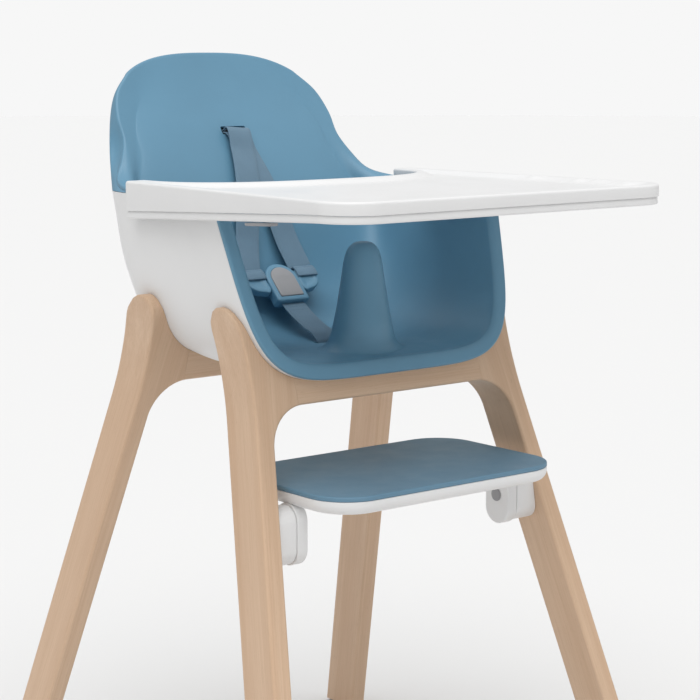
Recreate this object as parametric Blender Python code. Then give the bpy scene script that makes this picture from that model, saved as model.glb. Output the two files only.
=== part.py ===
"""Baby high chair with raked wooden legs, a moulded seat, a slide-on tray and a flip-over footrest.

Metres, +Z up. The chair faces -Y and the child's left hand is at +X. The origin is on the floor
below the middle of the chair, and the chair is the same on both sides of X = 0.
"""
import math

import bmesh
import bpy
import numpy as np
from mathutils import Matrix, Vector
from mathutils.bvhtree import BVHTree

# ---------------------------------------------------------------- driving dimensions
GAP = 0.0004                  # air between touching pieces
FLOOR_Z = -0.055              # the floor, in the heights used here: the chair is lifted by as much
# leg frames
RAKE = 0.312                  # how far a leg runs out in Y for each metre down
SPLAY = 0.153                 # how far a leg runs out in X for each metre down
KNEE_Z = 0.500                # height at which the leg stance is given
STANCE_INSET = 0.0225         # leg centre line at the knee height, inside the seat's widest place
STANCE_Y = 0.131
LEG_WIDTH = 0.026
LEG_DEPTH = 0.063
LEG_EDGE = 0.004              # rounding of the long edges
LEG_TOP_Z = 0.646
LEG_TOP_INSET = 0.0100        # outer face at the leg's top, inside the seat's widest place
LEG_BEND_Z = 0.505            # the outer edge is straight below this
BAR_LOW_Z = 0.528             # underside of the crossbars
ARCH_RADIUS = 0.054           # swept corner between leg and crossbar
BAR_JOINT_X = 0.150           # glue line between leg and crossbar
GLIDE_HEIGHT = 0.004
# seat
SEAT_HALF_WIDTH = 0.229       # over the rim at the front of the arms
PLAN_TAPER = 0.040            # arms close towards the back
ARM_TOP_Z = 0.780
SEAM_DROP = 0.0065            # blue rim over the white shell at the arms
SHELL_BOTTOM_Z = 0.551
LIP_Z = 0.5555                # lowest point of the front rim
RIM_AHEAD = 0.047             # rim plane in front of the front frame's middle plane
RIM_WIDTH = 0.020
RIM_THICK = 0.0055
RIM_ROUND = 0.003
SHELL_WALL = 0.003
SEAT_WALL = 0.004
SKIRT_WALL = 0.0032
SIDE_DRAFT = 0.120
BACK_TOP_Z = 0.950
BACK_ARCH = 2.7               # squareness of the back's arch: 2 is an ellipse
BACK_RAKE = 0.580             # slope of the back rim's plane
BACK_ROOT_Y = 0.1470          # that plane at arm height
BACK_HALF_WIDTH = 0.179
BACK_BULGE = 0.034            # depth of the back's rear skin behind the rim
SHELL_REAR_Y = 0.205          # rearmost point of the seam
CORNER_Y = 0.070              # where the seam starts to turn round the back
SEAT_FLOOR_Z = 0.578
SEAT_REAR_Y = 0.088           # where the floor meets the back
SLOT_Z = 0.845                # shoulder strap slot
SLOT_SIDE_AIR = 0.0020        # slot's end beyond the strap's edge
SLOT_HALF_HEIGHT = 0.0060
CROTCH_SLOT_Y = -0.024
POST_Y = -0.092
POST_TOP_Z = 0.714
POST_RADIUS = 0.0240
# tray
TRAY_TOP_Z = 0.790
TRAY_FRONT_Y = -0.380
TRAY_HALF_WIDTH = 0.262
TRAY_CORNER = 0.052
TRAY_ARM_END_Y = 0.092
TRAY_BELLY_Y = -0.037
TRAY_ARM_INNER_X = 0.204
TRAY_WALL = 0.0035
TRAY_DISH = 0.0055
TRAY_FIT = 0.0015             # tray arm to seat rim
BAND_FRONT_Z = 0.7745         # lower edge of the tray's band at the front
BAND_REAR_Z = 0.7520
LIP_HEIGHT = 0.0090
LEVER_LENGTH = 0.050
LEVER_HEIGHT = 0.0035
LEVER_Y = -0.205
# footrest
PIVOT_Y = -0.168
PIVOT_Z = 0.377
PLATE_SIDE_AIR = 0.0203        # plate's side to the inner face of the leg
PLATE_FRONT_Y = -0.273
PLATE_REAR_Y = -0.039
PLATE_CORNER = 0.055
PLATE_LOW_Z = 0.4125
PLATE_THICK = 0.0167
PAD_THICK = 0.0058
ARM_THICK = 0.016
BRACKET_DEPTH = 0.043
BRACKET_RISE = 0.0365         # hinge housing above and below the pivot
PIN_RADIUS = 0.0050
PIN_HEAD_RADIUS = 0.0085
PIN_HEAD_THICK = 0.0022
PIN_FIT = 0.0005
# harness
STRAP_WIDTH = 0.037
STRAP_THICK = 0.0016
STRAP_SLANT = 0.1216          # slope of a shoulder strap's end over its tongue
BUCKLE_Z = 0.643
BUCKLE_WIDTH = 0.052
BUCKLE_HEIGHT = 0.062
BUCKLE_THICK = 0.015
BUCKLE_AIR = 0.020            # buckle's back in front of the seat's surface
TONGUE_INSET = 0.0020         # tongue's side inside the strap's edge
TONGUE_DROP = 0.010           # tongues' upper edge below the buckle's crown
BUTTON_INSET = 0.0072
BUTTON_PROUD = 0.0020

SEAM_Z = ARM_TOP_Z - SEAM_DROP
STANCE_X = SEAT_HALF_WIDTH - STANCE_INSET
LEG_TOP_X = SEAT_HALF_WIDTH - LEG_TOP_INSET
SLOT_HALF_WIDTH = STRAP_WIDTH / 2 + SLOT_SIDE_AIR
TONGUE_WIDTH = STRAP_WIDTH - 2 * TONGUE_INSET
LEG_INSIDE_X = STANCE_X + SPLAY * (KNEE_Z - PLATE_LOW_Z - PLATE_THICK) - LEG_WIDTH / 2   # at the footrest
PLATE_HALF_WIDTH = LEG_INSIDE_X - PLATE_SIDE_AIR
TRAY_END_X = SEAT_HALF_WIDTH + TRAY_FIT + TRAY_WALL + 0.0015   # outer side of the tray's arm ends
NU = 28                       # facets across the seat's sections
NV = 22                       # facets along the seat, from lip to crest
RAY_NUDGE = 0.0001            # keeps a surface reading off the middle seam of the facets


# ---------------------------------------------------------------- small tools
def vec(x, y, z):
    return np.array([x, y, z], float)


def unit(v):
    return v / np.linalg.norm(v)


def smooth(t):
    t = min(max(t, 0.0), 1.0)
    return t * t * (3 - 2 * t)


def mix(a, b, t):
    return a + (b - a) * t


def spline(points, params, values=None):
    """Smooth curve through the points, read at params from 0 to 1 by chord length.

    With values, one for each point, it gives the values at the same places along the curve.
    """
    pts = np.array(points, float)
    chord = np.r_[0, np.cumsum(np.linalg.norm(np.diff(pts, axis=0), axis=1))]
    pts = pts if values is None else np.array(values, float)
    slope = np.gradient(pts, chord, axis=0)
    result = []
    for s in np.asarray(params, float) * chord[-1]:
        k = int(min(max(np.searchsorted(chord, s) - 1, 0), len(chord) - 2))
        h = chord[k + 1] - chord[k]
        t = (s - chord[k]) / h
        a = (1 + 2 * t) * (1 - t) ** 2
        b = t * (1 - t) ** 2
        c = t * t * (3 - 2 * t)
        d = t * t * (t - 1)
        result.append(a * pts[k] + b * h * slope[k] + c * pts[k + 1] + d * h * slope[k + 1])
    return np.array(result)


def squircle(u, power):
    """Quarter superellipse at u from 0 (the middle) to 1 (the rim): (across, up), both 0 to 1."""
    angle = abs(u) * math.pi / 2
    a, b = math.sin(angle), math.cos(angle)
    reach = (a ** power + b ** power) ** (-1 / power)
    return reach * a, 1 - reach * b


def front_plane_y(z):
    """The seat's front rim lies in a plane with the rake of the front legs."""
    return -STANCE_Y - RAKE * (KNEE_Z - z) - RIM_AHEAD


def arm_half_width(y):
    """Outer face of the seat at the seam, along the arms."""
    return SEAT_HALF_WIDTH - PLAN_TAPER * (y - front_plane_y(SEAM_Z))


# ---------------------------------------------------------------- meshes and materials
def material(name, color, roughness, metallic=0.0):
    mat = bpy.data.materials.new(name)
    mat.use_nodes = True
    shader = mat.node_tree.nodes["Principled BSDF"]
    shader.inputs["Base Color"].default_value = (*color, 1.0)
    shader.inputs["Roughness"].default_value = roughness
    shader.inputs["Metallic"].default_value = metallic
    return mat


def add_object(name, bm, mat, crease=35.0):
    """Make a named object from a closed bmesh, faces out, smooth except at creases."""
    bmesh.ops.remove_doubles(bm, verts=bm.verts, dist=1e-6)
    bmesh.ops.dissolve_degenerate(bm, edges=bm.edges, dist=1e-7)
    bmesh.ops.recalc_face_normals(bm, faces=bm.faces)
    mesh = bpy.data.meshes.new(name)
    bm.to_mesh(mesh)
    bm.free()
    mesh.shade_smooth()
    mesh.set_sharp_from_angle(angle=math.radians(crease))
    obj = bpy.data.objects.new(name, mesh)
    bpy.context.scene.collection.objects.link(obj)
    if mat:
        mesh.materials.append(mat)
    return obj


def add_cutter(name, bm):
    obj = add_object(name, bm, None)
    obj.hide_render = True
    obj.display_type = "WIRE"
    return obj


def boolean(obj, cutter, operation="DIFFERENCE"):
    mod = obj.modifiers.new(cutter.name, "BOOLEAN")
    mod.operation = operation
    mod.solver = "EXACT"
    mod.object = cutter


def put_origin(obj, point):
    """Move the object's origin, and leave its shape where it is."""
    obj.data.transform(Matrix.Translation(-Vector(point)))
    obj.location = point
    return obj


def add_rings(bm, rings, cap_start=True, cap_end=True):
    """Skin closed rings of points, with a flat face over each end."""
    rows = [[bm.verts.new(p) for p in ring] for ring in rings]
    count = len(rows[0])
    for low, high in zip(rows[:-1], rows[1:]):
        for i in range(count):
            j = (i + 1) % count
            bm.faces.new((low[i], low[j], high[j], high[i]))
    if cap_start:
        bm.faces.new(rows[0][::-1])
    if cap_end:
        bm.faces.new(rows[-1])


def rings_mesh(rings):
    bm = bmesh.new()
    add_rings(bm, rings)
    return bm


def add_grid(bm, grid):
    rows = [[bm.verts.new(p) for p in row] for row in grid]
    for low, high in zip(rows[:-1], rows[1:]):
        for i in range(len(low) - 1):
            bm.faces.new((low[i], low[i + 1], high[i + 1], high[i]))


def add_band(bm, loops):
    """Join closed loops of equal length, one after the other."""
    add_rings(bm, loops, cap_start=False, cap_end=False)


def border(grid):
    """The grid's edge as one loop: front row, right side, last row back, left side."""
    front = [row for row in grid[0][:-1]]
    right = [row[-1] for row in grid[:-1]]
    last = [p for p in grid[-1][:0:-1]]
    left = [row[0] for row in grid[:0:-1]]
    return np.array(front + right + last + left)


def box_mesh(low, high):
    bm = bmesh.new()
    bmesh.ops.create_cube(bm, size=1.0)
    size = [h - l for l, h in zip(low, high)]
    middle = [(h + l) / 2 for l, h in zip(low, high)]
    bmesh.ops.scale(bm, vec=size, verts=bm.verts)
    bmesh.ops.translate(bm, vec=middle, verts=bm.verts)
    return bm


def rod_x(radius, x_from, x_to, y, z, facets=24):
    """Round rod along X."""
    ring = [(radius * math.cos(a), radius * math.sin(a))
            for a in np.linspace(0, 2 * math.pi, facets, endpoint=False)]
    return [[(x, y + p, z + q) for p, q in ring] for x in (x_from, x_to)]


def arc(cx, cy, radius, start, end, steps):
    """Points on a circle, angles in degrees."""
    angles = np.radians(np.linspace(start, end, steps + 1))
    return [(cx + radius * math.cos(a), cy + radius * math.sin(a)) for a in angles]


def round_rectangle(half_x, low_y, high_y, radius, inset=0.0, steps=6):
    """Counter-clockwise outline with round corners, drawn in by inset."""
    hx, lo, hi = half_x - inset, low_y + inset, high_y - inset
    r = max(radius - inset, 0.001)
    points = arc(hx - r, lo + r, r, -90, 0, steps)
    points += arc(hx - r, hi - r, r, 0, 90, steps)
    points += arc(-hx + r, hi - r, r, 90, 180, steps)
    points += arc(-hx + r, lo + r, r, 180, 270, steps)
    return points


def stadium(centre_y, centre_z, half_width, half_height, steps=10):
    """Upright outline with half-round ends, as (y, z)."""
    reach = half_height - half_width
    points = arc(centre_y, centre_z + reach, half_width, 0, 180, steps)
    points += arc(centre_y, centre_z - reach, half_width, 180, 360, steps)
    return points


# ---------------------------------------------------------------- seat surfaces
FRONT_DEEP = unit(vec(0, 1, -RAKE))        # into the seat, square to the front rim
ARM_DEEP = vec(0, 0, -1)
BACK_DEEP = unit(vec(0, 1, -BACK_RAKE))    # into the back, square to the back rim


def front_rim(u):
    """Outer edge of the front rim, from the left arm (u = -1) under the lip to the right arm."""
    top = SEAM_Z
    across, up = squircle(u, 5.5)
    z = mix(LIP_Z, top, up)
    x = across * (SEAT_HALF_WIDTH - SIDE_DRAFT * (top - z))
    return vec(math.copysign(x, u), front_plane_y(z), z)


def back_plane_y(z):
    return BACK_ROOT_Y + BACK_RAKE * (z - ARM_TOP_Z)


def arch(angle):
    """Outer edge of the back rim: 0 degrees at the side, 90 at the crest."""
    root = ARM_TOP_Z + 0.33 * (BACK_TOP_Z - ARM_TOP_Z)
    c, s = math.cos(math.radians(angle)), math.sin(math.radians(angle))
    reach = (c ** BACK_ARCH + s ** BACK_ARCH) ** (-1 / BACK_ARCH)
    z = mix(root, BACK_TOP_Z, reach * s)
    return vec(BACK_HALF_WIDTH * reach * c, back_plane_y(z), z)


def side_rim(count):
    """Outer edge of the rim along the right arm and up the back to 45 degrees of the arch."""
    start = front_rim(1.0)
    arm_y = [start[1] + 0.014, -0.040, 0.020, 0.070, 0.112]
    arm = [vec(arm_half_width(y), y, ARM_TOP_Z) for y in arm_y]
    sweep = [vec(mix(arm_half_width(0.15), BACK_HALF_WIDTH, t), back_plane_y(ARM_TOP_Z + h), ARM_TOP_Z + h)
             for t, h in ((0.34, 0.013), (0.68, 0.031))]
    upper = [arch(a) for a in (0, 15, 30, 45)]
    rim = spline([start] + arm + sweep + upper, np.linspace(0, 1, count + 1))
    level = rim[:, 1] < arm_y[-1]
    rim[level, 2] = np.minimum(rim[level, 2], ARM_TOP_Z)
    return rim


def rim_loop():
    """The whole rim's outer edge as one loop, in the order of border()."""
    front = [front_rim(u) for u in np.linspace(-1, 1, NU + 1)]
    right = side_rim(NV)
    crest = [arch(a) for a in np.linspace(45, 90, NU // 2 + 1)]
    flip = np.array([-1, 1, 1])
    crest = crest + [p * flip for p in crest[-2::-1]]
    left = [p * flip for p in right[::-1]]
    return np.array(front[:-1] + list(right[:-1]) + crest[:-1] + left[:-1])


def deep_directions():
    """Direction into the moulding at each point of the rim loop."""
    side = []
    for k in range(NV):
        v = k / NV
        if v < 0.20:
            side.append(unit(mix(FRONT_DEEP, ARM_DEEP, smooth(v / 0.12))))
        else:
            side.append(unit(mix(ARM_DEEP, BACK_DEEP, smooth((v - 0.45) / 0.25))))
    left = side[1:] + [BACK_DEEP]
    return np.array([FRONT_DEEP] * NU + side + [BACK_DEEP] * NU + left[::-1])


def inward_directions(loop, deep):
    """Direction across the rim, towards the opening."""
    along = np.roll(loop, -1, axis=0) - np.roll(loop, 1, axis=0)
    across = np.cross(deep, along)
    across /= np.linalg.norm(across, axis=1)[:, None]
    return -across


def seam_corner(q):
    """The seam round the back, from the right arm (q = 0) to the middle of the back (q = 1)."""
    across, back = squircle(1 - q, 4.0)
    x = across * arm_half_width(CORNER_Y)
    return vec(x, mix(SHELL_REAR_Y, CORNER_Y, back), SEAM_Z)


def skirt_loop(loop, deep):
    """Lower edge of the blue skirt, which meets the white shell along the seam."""
    edge = loop + deep * RIM_THICK
    right = range(NU, NU + NV + NU // 2 + 1)
    turned = [i for i in right if loop[i][1] > CORNER_Y and i > NU + 3]
    steps = [np.linalg.norm(loop[i] - loop[i - 1]) for i in turned]
    total = sum(steps)
    walked = np.cumsum(steps) / total
    for i in right:
        if i in turned:
            edge[i] = seam_corner(walked[turned.index(i)])
        elif i > NU:
            edge[i] = vec(loop[i][0], edge[i][1], mix(edge[i][2], SEAM_Z, smooth((i - NU) / 3)))
    count = len(loop)
    for i in right:
        mirror = (2 * (NU + NV) + NU - i) % count
        edge[mirror] = edge[i] * np.array([-1, 1, 1])
    return edge


SPINE = [(-0.120, SEAT_FLOOR_Z - 0.001), (-0.060, SEAT_FLOOR_Z), (0.010, SEAT_FLOOR_Z + 0.002),
         (SEAT_REAR_Y - 0.030, SEAT_FLOOR_Z + 0.012), (SEAT_REAR_Y + 0.004, SEAT_FLOOR_Z + 0.048)]


def inner_spine(first, last):
    """Middle line of the seat's inner surface, over the floor and up the back."""
    upper = [(back_plane_y(ARM_TOP_Z) - 0.004, ARM_TOP_Z - 0.004),
             (back_plane_y(SLOT_Z) - 0.001, SLOT_Z)]
    points = [first] + [vec(0, y, z) for y, z in SPINE + upper] + [last]
    return spline(points, np.linspace(0, 1, NV + 1))


def sweep_sections(spine, rim, powers, draft, first, last, fade):
    """Superellipse sections from the middle line to the rim; the end rows follow first and last."""
    us = np.linspace(-1, 1, NU + 1)
    grid = np.zeros((NV + 1, NU + 1, 3))
    for k in range(NV + 1):
        for i, u in enumerate(us):
            across, up = squircle(u, powers[k])
            p = mix(spine[k], rim[k], up)
            p[0] = math.copysign(across * (rim[k][0] - draft[k] * (rim[k][2] - p[2])), u)
            grid[k, i] = p
    start, end = first - grid[0], last - grid[-1]
    for k in range(NV + 1):
        v = k / NV
        grid[k] += start * (1 - smooth(v / fade)) + end * (1 - smooth((1 - v) / fade))
    return grid


def grid_normals(grid):
    du = np.gradient(grid, axis=1)
    dv = np.gradient(grid, axis=0)
    n = np.cross(du, dv)
    return n / np.linalg.norm(n, axis=2)[:, :, None]


def seat_inner_grid(edge):
    """Inner surface of the seat, whose border is the given loop."""
    first = edge[:NU + 1]
    right = edge[NU:NU + NV + 1]
    last = edge[NU + NV:NU + NV + NU + 1][::-1]
    vs = np.linspace(0, 1, NV + 1)
    powers = [mix(mix(5.5, 4.2, smooth(v / 0.3)), 2.6, smooth((v - 0.35) / 0.6)) for v in vs]
    draft = [mix(SIDE_DRAFT, 0.0, smooth((v - 0.3) / 0.5)) for v in vs]
    spine = inner_spine(first[NU // 2], last[NU // 2])
    return sweep_sections(spine, right, powers, draft, first, last, 0.25)


def seat_surfaces():
    """All the seat's loops and surfaces, shared by the blue seat, the straps and the post."""
    loop = rim_loop()
    deep = deep_directions()
    inward = inward_directions(loop, deep)

    def offset(inset, depth):
        return loop + inward * inset + deep * depth

    inner = seat_inner_grid(offset(RIM_WIDTH, RIM_THICK))
    return loop, deep, offset, inner


def shell_outer_grid(swell):
    """Outer surface of the white shell, pushed out by swell."""
    front = [front_rim(u) + FRONT_DEEP * (RIM_THICK + GAP) for u in np.linspace(-1, 1, NU + 1)]
    first = np.array(front)
    top = SEAM_Z - GAP
    spine_keys = [first[NU // 2], vec(0, first[NU // 2][1] + 0.026, SHELL_BOTTOM_Z + 0.001),
                  vec(0, -0.050, SHELL_BOTTOM_Z), vec(0, 0.070, SHELL_BOTTOM_Z + 0.002),
                  vec(0, 0.162, SHELL_BOTTOM_Z + 0.025), vec(0, SHELL_REAR_Y - 0.009, SHELL_BOTTOM_Z + 0.085),
                  vec(0, SHELL_REAR_Y, top)]
    spine = spline(spine_keys, np.linspace(0, 1, NV + 1))
    start_y = front_plane_y(SEAM_Z) + RIM_THICK + GAP
    rim = []
    for k in range(NV + 1):
        y = mix(start_y, CORNER_Y, k / NV)
        rim.append(vec(arm_half_width(y), y, top))
    powers = [mix(5.0, 4.0, smooth(k / NV / 0.8)) for k in range(NV + 1)]
    draft = [SIDE_DRAFT] * (NV + 1)
    last = np.array([seam_corner(1 - abs(u)) * np.array([math.copysign(1, u), 1, 1])
                     for u in np.linspace(-1, 1, NU + 1)])
    last[:, 2] = top
    first[:, 2] = np.minimum(first[:, 2], top)
    grid = sweep_sections(spine, rim, powers, draft, first, last, 0.14)
    return grid - grid_normals(grid) * swell


# ---------------------------------------------------------------- seat pieces
def shell_inner_edge(edge):
    """The shell's edge loop moved in by the wall: across the rim in front, level along the seam."""
    flip = np.array([-1, 1, 1])
    front = edge[:NU + 1]
    along = np.gradient(front, axis=0)
    across = np.cross(along, FRONT_DEEP)
    across /= np.linalg.norm(across, axis=1)[:, None]
    rest = edge[NU + 1:]
    level = np.array([unit(vec(-p[0], min(CORNER_Y - p[1], 0), 0)) for p in rest])
    return np.vstack([front + across * SHELL_WALL, rest + level * SHELL_WALL])


def make_outer_shell(mat):
    outer = shell_outer_grid(0.0)
    inner = replace_border(shell_outer_grid(-SHELL_WALL), shell_inner_edge(border(outer)))
    bm = bmesh.new()
    add_grid(bm, outer)
    add_grid(bm, inner)
    add_band(bm, [border(outer), border(inner)])
    return add_object("outer_shell", bm, mat)


def make_shell_envelope():
    """The space that the white shell fills, with its gap: it shapes the wooden cradle."""
    outer = shell_outer_grid(GAP)
    bm = bmesh.new()
    add_grid(bm, outer)
    rim = [bm.verts.new(p) for p in border(outer)]
    centre = bm.verts.new((0, 0, ARM_TOP_Z + 0.05))
    for i, p in enumerate(rim):
        bm.faces.new((p, rim[(i + 1) % len(rim)], centre))
    return add_cutter("shell_envelope", bm)


def make_post_mesh():
    """Crotch post: a tall rounded nose that flares into the seat floor."""
    profile = [(0.0, 2.8), (0.06, 2.15), (0.14, 1.85), (0.28, 1.60), (0.50, 1.35), (0.70, 1.18),
               (0.84, 1.05), (0.93, 0.85), (0.98, 0.54), (1.0, 0.18)]
    base = SEAT_FLOOR_Z - 0.0020
    rings = []
    for height, girth in profile:
        z = mix(base, POST_TOP_Z, height)
        r = POST_RADIUS * girth
        ring = [(r * math.cos(a), POST_Y + 0.85 * r * math.sin(a), z)
                for a in np.linspace(0, 2 * math.pi, 28, endpoint=False)]
        rings.append(ring)
    return rings_mesh(rings)


def make_seat_shell(surfaces, mat):
    loop, deep, offset, inner = surfaces
    skirt = skirt_loop(loop, deep)
    round_edge = offset(0.0, RIM_ROUND)
    drop = (round_edge - skirt)[:, 2:3]
    bulge = round_edge + deep * np.clip(drop * 0.5, 0, BACK_BULGE)
    rear = [(1 - t) ** 2 * round_edge + 2 * t * (1 - t) * bulge + t * t * skirt for t in (0.25, 0.5, 0.75)]
    inward = offset(1.0, 0.0) - loop
    tuck = np.array([seam_inward(i, loop, inward) for i in range(len(loop))]) * SKIRT_WALL
    skirt_in = [p + tuck for p in rear + [skirt]]
    under = offset(SKIRT_WALL + 0.001, RIM_THICK)
    outside = inner + grid_normals(inner) * -SEAT_WALL
    outside_edge = offset(RIM_WIDTH - SEAT_WALL, RIM_THICK + 0.0030)
    outside = replace_border(outside, outside_edge)
    loops = [border(inner), offset(RIM_WIDTH - 0.0015, 0.0020), offset(RIM_WIDTH - 0.005, 0.0),
             offset(RIM_ROUND, 0.0), offset(0.0008, 0.0010), round_edge] + rear + [skirt]
    bm = bmesh.new()
    add_grid(bm, inner)
    add_band(bm, loops)
    add_band(bm, [skirt] + skirt_in[::-1])
    add_band(bm, [skirt_in[0], under, outside_edge])
    add_grid(bm, outside)
    return add_object("seat_shell", bm, mat)


def seam_inward(i, loop, inward):
    """Direction through the skirt's thickness, level wherever the skirt hangs down to the seam."""
    if loop[i][1] > CORNER_Y:
        return unit(vec(-loop[i][0], CORNER_Y - loop[i][1], 0))
    return inward[i]


def replace_border(grid, loop):
    """The same grid with its edge moved to the loop."""
    result = grid.copy()
    result[0, :] = loop[:NU + 1]
    result[:, -1] = loop[NU:NU + NV + 1]
    result[-1, :] = loop[NU + NV:2 * NU + NV + 1][::-1]
    left = np.vstack([loop[2 * NU + NV:], loop[:1]])
    result[:, 0] = left[::-1]
    return result


# ---------------------------------------------------------------- wooden frames
def leg_centre_x(z):
    return STANCE_X + SPLAY * (KNEE_Z - z)


def leg_outer_x(z):
    """Outer face of a leg: straight, then curving up beside the seat."""
    straight = leg_centre_x(z) + LEG_WIDTH / 2
    rise = max(z - LEG_BEND_Z, 0) / (LEG_TOP_Z - LEG_BEND_Z)
    return straight + rise ** 2 * (LEG_TOP_X - leg_centre_x(LEG_TOP_Z) - LEG_WIDTH / 2)


def frame_outline():
    """Half of a leg frame seen from the front, from the middle of the bar round to the middle again."""
    foot = FLOOR_Z + GLIDE_HEIGHT + GAP
    inner = LEG_WIDTH / 2
    turn = math.degrees(math.atan(SPLAY))
    arch_z = BAR_LOW_Z - ARCH_RADIUS
    arch_x = leg_centre_x(arch_z) - inner - ARCH_RADIUS / math.cos(math.radians(turn))
    low = arc(arch_x, arch_z, ARCH_RADIUS, 90, turn, 7)
    foot_corners = [(leg_centre_x(foot) - inner, foot), (leg_outer_x(foot), foot)]
    outer = [(leg_outer_x(z), z) for z in np.linspace(LEG_BEND_Z, LEG_TOP_Z, 6)]
    inside = LEG_TOP_X - LEG_WIDTH
    cradle = [(inside, LEG_TOP_Z), (inside - 0.020, LEG_TOP_Z - 0.030), (0.120, SHELL_BOTTOM_Z + 0.040)]
    return low + foot_corners + outer + cradle


def frame_mesh(side):
    """One H-shaped frame as a single board; side is -1 in front and 1 behind."""
    half = frame_outline()
    outline = half + [(-x, z) for x, z in half[::-1]]
    bm = bmesh.new()
    low = [bm.verts.new((x, -LEG_DEPTH / 2, z)) for x, z in outline]
    face = bm.faces.new(low)
    solid = bmesh.ops.extrude_face_region(bm, geom=[face])
    moved = [v for v in solid["geom"] if isinstance(v, bmesh.types.BMVert)]
    bmesh.ops.translate(bm, vec=(0, LEG_DEPTH, 0), verts=moved)
    bmesh.ops.recalc_face_normals(bm, faces=bm.faces)
    long_edges = [e for e in bm.edges if abs(e.verts[0].co.y - e.verts[1].co.y) < 1e-6
                  and max(v.co.z for v in e.verts) > FLOOR_Z + GLIDE_HEIGHT + 0.01]
    bmesh.ops.bevel(bm, geom=long_edges, offset=LEG_EDGE, segments=3, profile=0.5, affect="EDGES",
                    clamp_overlap=True)
    for v in bm.verts:
        v.co.y += side * (STANCE_Y + RAKE * (KNEE_Z - v.co.z))
    return bm


def leg_top_cutter(name, side, hand):
    """Takes off everything around the half-round top of a leg, as seen from the side."""
    radius = LEG_DEPTH / 2
    centre_z = LEG_TOP_Z - radius
    far = radius + 0.010
    outline = [(-far, centre_z)] + [(p, q) for p, q in arc(0, centre_z, radius, 180, 0, 12)]
    outline += [(far, centre_z), (far, LEG_TOP_Z + 0.020), (-far, LEG_TOP_Z + 0.020)]
    rings = []
    for x in (LEG_TOP_X + 0.010, LEG_TOP_X - LEG_WIDTH - 0.010):
        rings.append([(hand * x, y + side * (STANCE_Y + RAKE * (KNEE_Z - z)), z) for y, z in outline])
    return add_cutter(name, rings_mesh(rings))


def keep_side(bm, point, direction):
    """Cut the solid with a plane and keep what lies against the direction."""
    geom = bm.verts[:] + bm.edges[:] + bm.faces[:]
    cut = bmesh.ops.bisect_plane(bm, geom=geom, dist=1e-7, plane_co=point, plane_no=direction,
                                 clear_outer=True)
    edges = [e for e in cut["geom_cut"] if isinstance(e, bmesh.types.BMEdge)]
    bmesh.ops.holes_fill(bm, edges=edges, sides=0)


def make_frame(name, side, mat, cradle):
    right = frame_mesh(side)
    keep_side(right, (BAR_JOINT_X + GAP / 2, 0, 0), (-1, 0, 0))
    left = frame_mesh(side)
    keep_side(left, (-BAR_JOINT_X - GAP / 2, 0, 0), (1, 0, 0))
    bar = frame_mesh(side)
    keep_side(bar, (BAR_JOINT_X - GAP / 2, 0, 0), (1, 0, 0))
    keep_side(bar, (-BAR_JOINT_X + GAP / 2, 0, 0), (-1, 0, 0))
    boolean(add_object(name + "_crossbar", bar, mat), cradle)
    for part, bm, hand in ((name + "_right_leg", left, -1), (name + "_left_leg", right, 1)):
        leg = add_object(part, bm, mat)
        boolean(leg, cradle)
        boolean(leg, leg_top_cutter(part + "_top", side, hand))


def make_glides(mat):
    for front, side in (("front", -1), ("rear", 1)):
        for hand, sign in (("left", 1), ("right", -1)):
            x = sign * leg_centre_x(FLOOR_Z)
            y = side * (STANCE_Y + RAKE * (KNEE_Z - FLOOR_Z))
            rings = []
            for z, inset in ((0, 0.0045), (0.0012, 0.003), (GLIDE_HEIGHT, 0.003)):
                outline = round_rectangle(LEG_WIDTH / 2, -LEG_DEPTH / 2, LEG_DEPTH / 2, 0.009, inset, 4)
                rings.append([(x + p, y + q, FLOOR_Z + z) for p, q in outline])
            add_object(front + "_" + hand + "_glide", rings_mesh(rings), mat)


# ---------------------------------------------------------------- tray
def tray_outline():
    """The tray from above, counter-clockwise from the front right corner, as (x, y)."""
    front_y = TRAY_FRONT_Y
    side_y = front_y + TRAY_CORNER
    end_x = TRAY_END_X
    points = arc(TRAY_HALF_WIDTH - TRAY_CORNER, side_y, TRAY_CORNER, -90, -4, 8)
    points += [(mix(TRAY_HALF_WIDTH, end_x, t ** 0.9), mix(side_y, TRAY_ARM_END_Y - 0.004, t))
               for t in (0.14, 0.28, 0.42, 0.56, 0.70, 0.85)]
    points += arc(end_x - 0.004, TRAY_ARM_END_Y - 0.004, 0.004, 0, 90, 3)
    points.append((end_x - 0.0045, TRAY_ARM_END_Y))
    inner = TRAY_ARM_INNER_X
    points += arc(inner + 0.006, TRAY_ARM_END_Y - 0.006, 0.006, 90, 165, 3)
    for t in (0.12, 0.3, 0.5, 0.7, 0.85, 0.95):
        angle = t * math.pi / 2
        reach = (math.cos(angle) ** 2.6 + math.sin(angle) ** 2.6) ** (-1 / 2.6)
        points.append((inner * reach * math.cos(angle),
                       TRAY_ARM_END_Y - (TRAY_ARM_END_Y - TRAY_BELLY_Y) * reach * math.sin(angle)))
    return points + [(0.0, TRAY_BELLY_Y)] + [(-x, y) for x, y in points[::-1]]


def inset_outline(points, inset):
    """The outline drawn in by inset, square to itself."""
    pts = np.array(points)
    along = np.roll(pts, -1, axis=0) - np.roll(pts, 1, axis=0)
    normal = np.stack([-along[:, 1], along[:, 0]], axis=1)
    normal /= np.linalg.norm(normal, axis=1)[:, None]
    return pts + normal * inset


def band_z(y):
    """Lower edge of the tray's outer band, which drops towards the arms' ends."""
    t = (y - TRAY_FRONT_Y - TRAY_CORNER) / (TRAY_ARM_END_Y - TRAY_FRONT_Y - TRAY_CORNER)
    return mix(BAND_FRONT_Z, BAND_REAR_Z, min(max(t, 0), 1))


def is_outer(i, count):
    """Whether the outline's point i is on the outer band, not on the belly side."""
    ends = 9 + 6 + 4
    return i < ends or i >= count - ends


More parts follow.
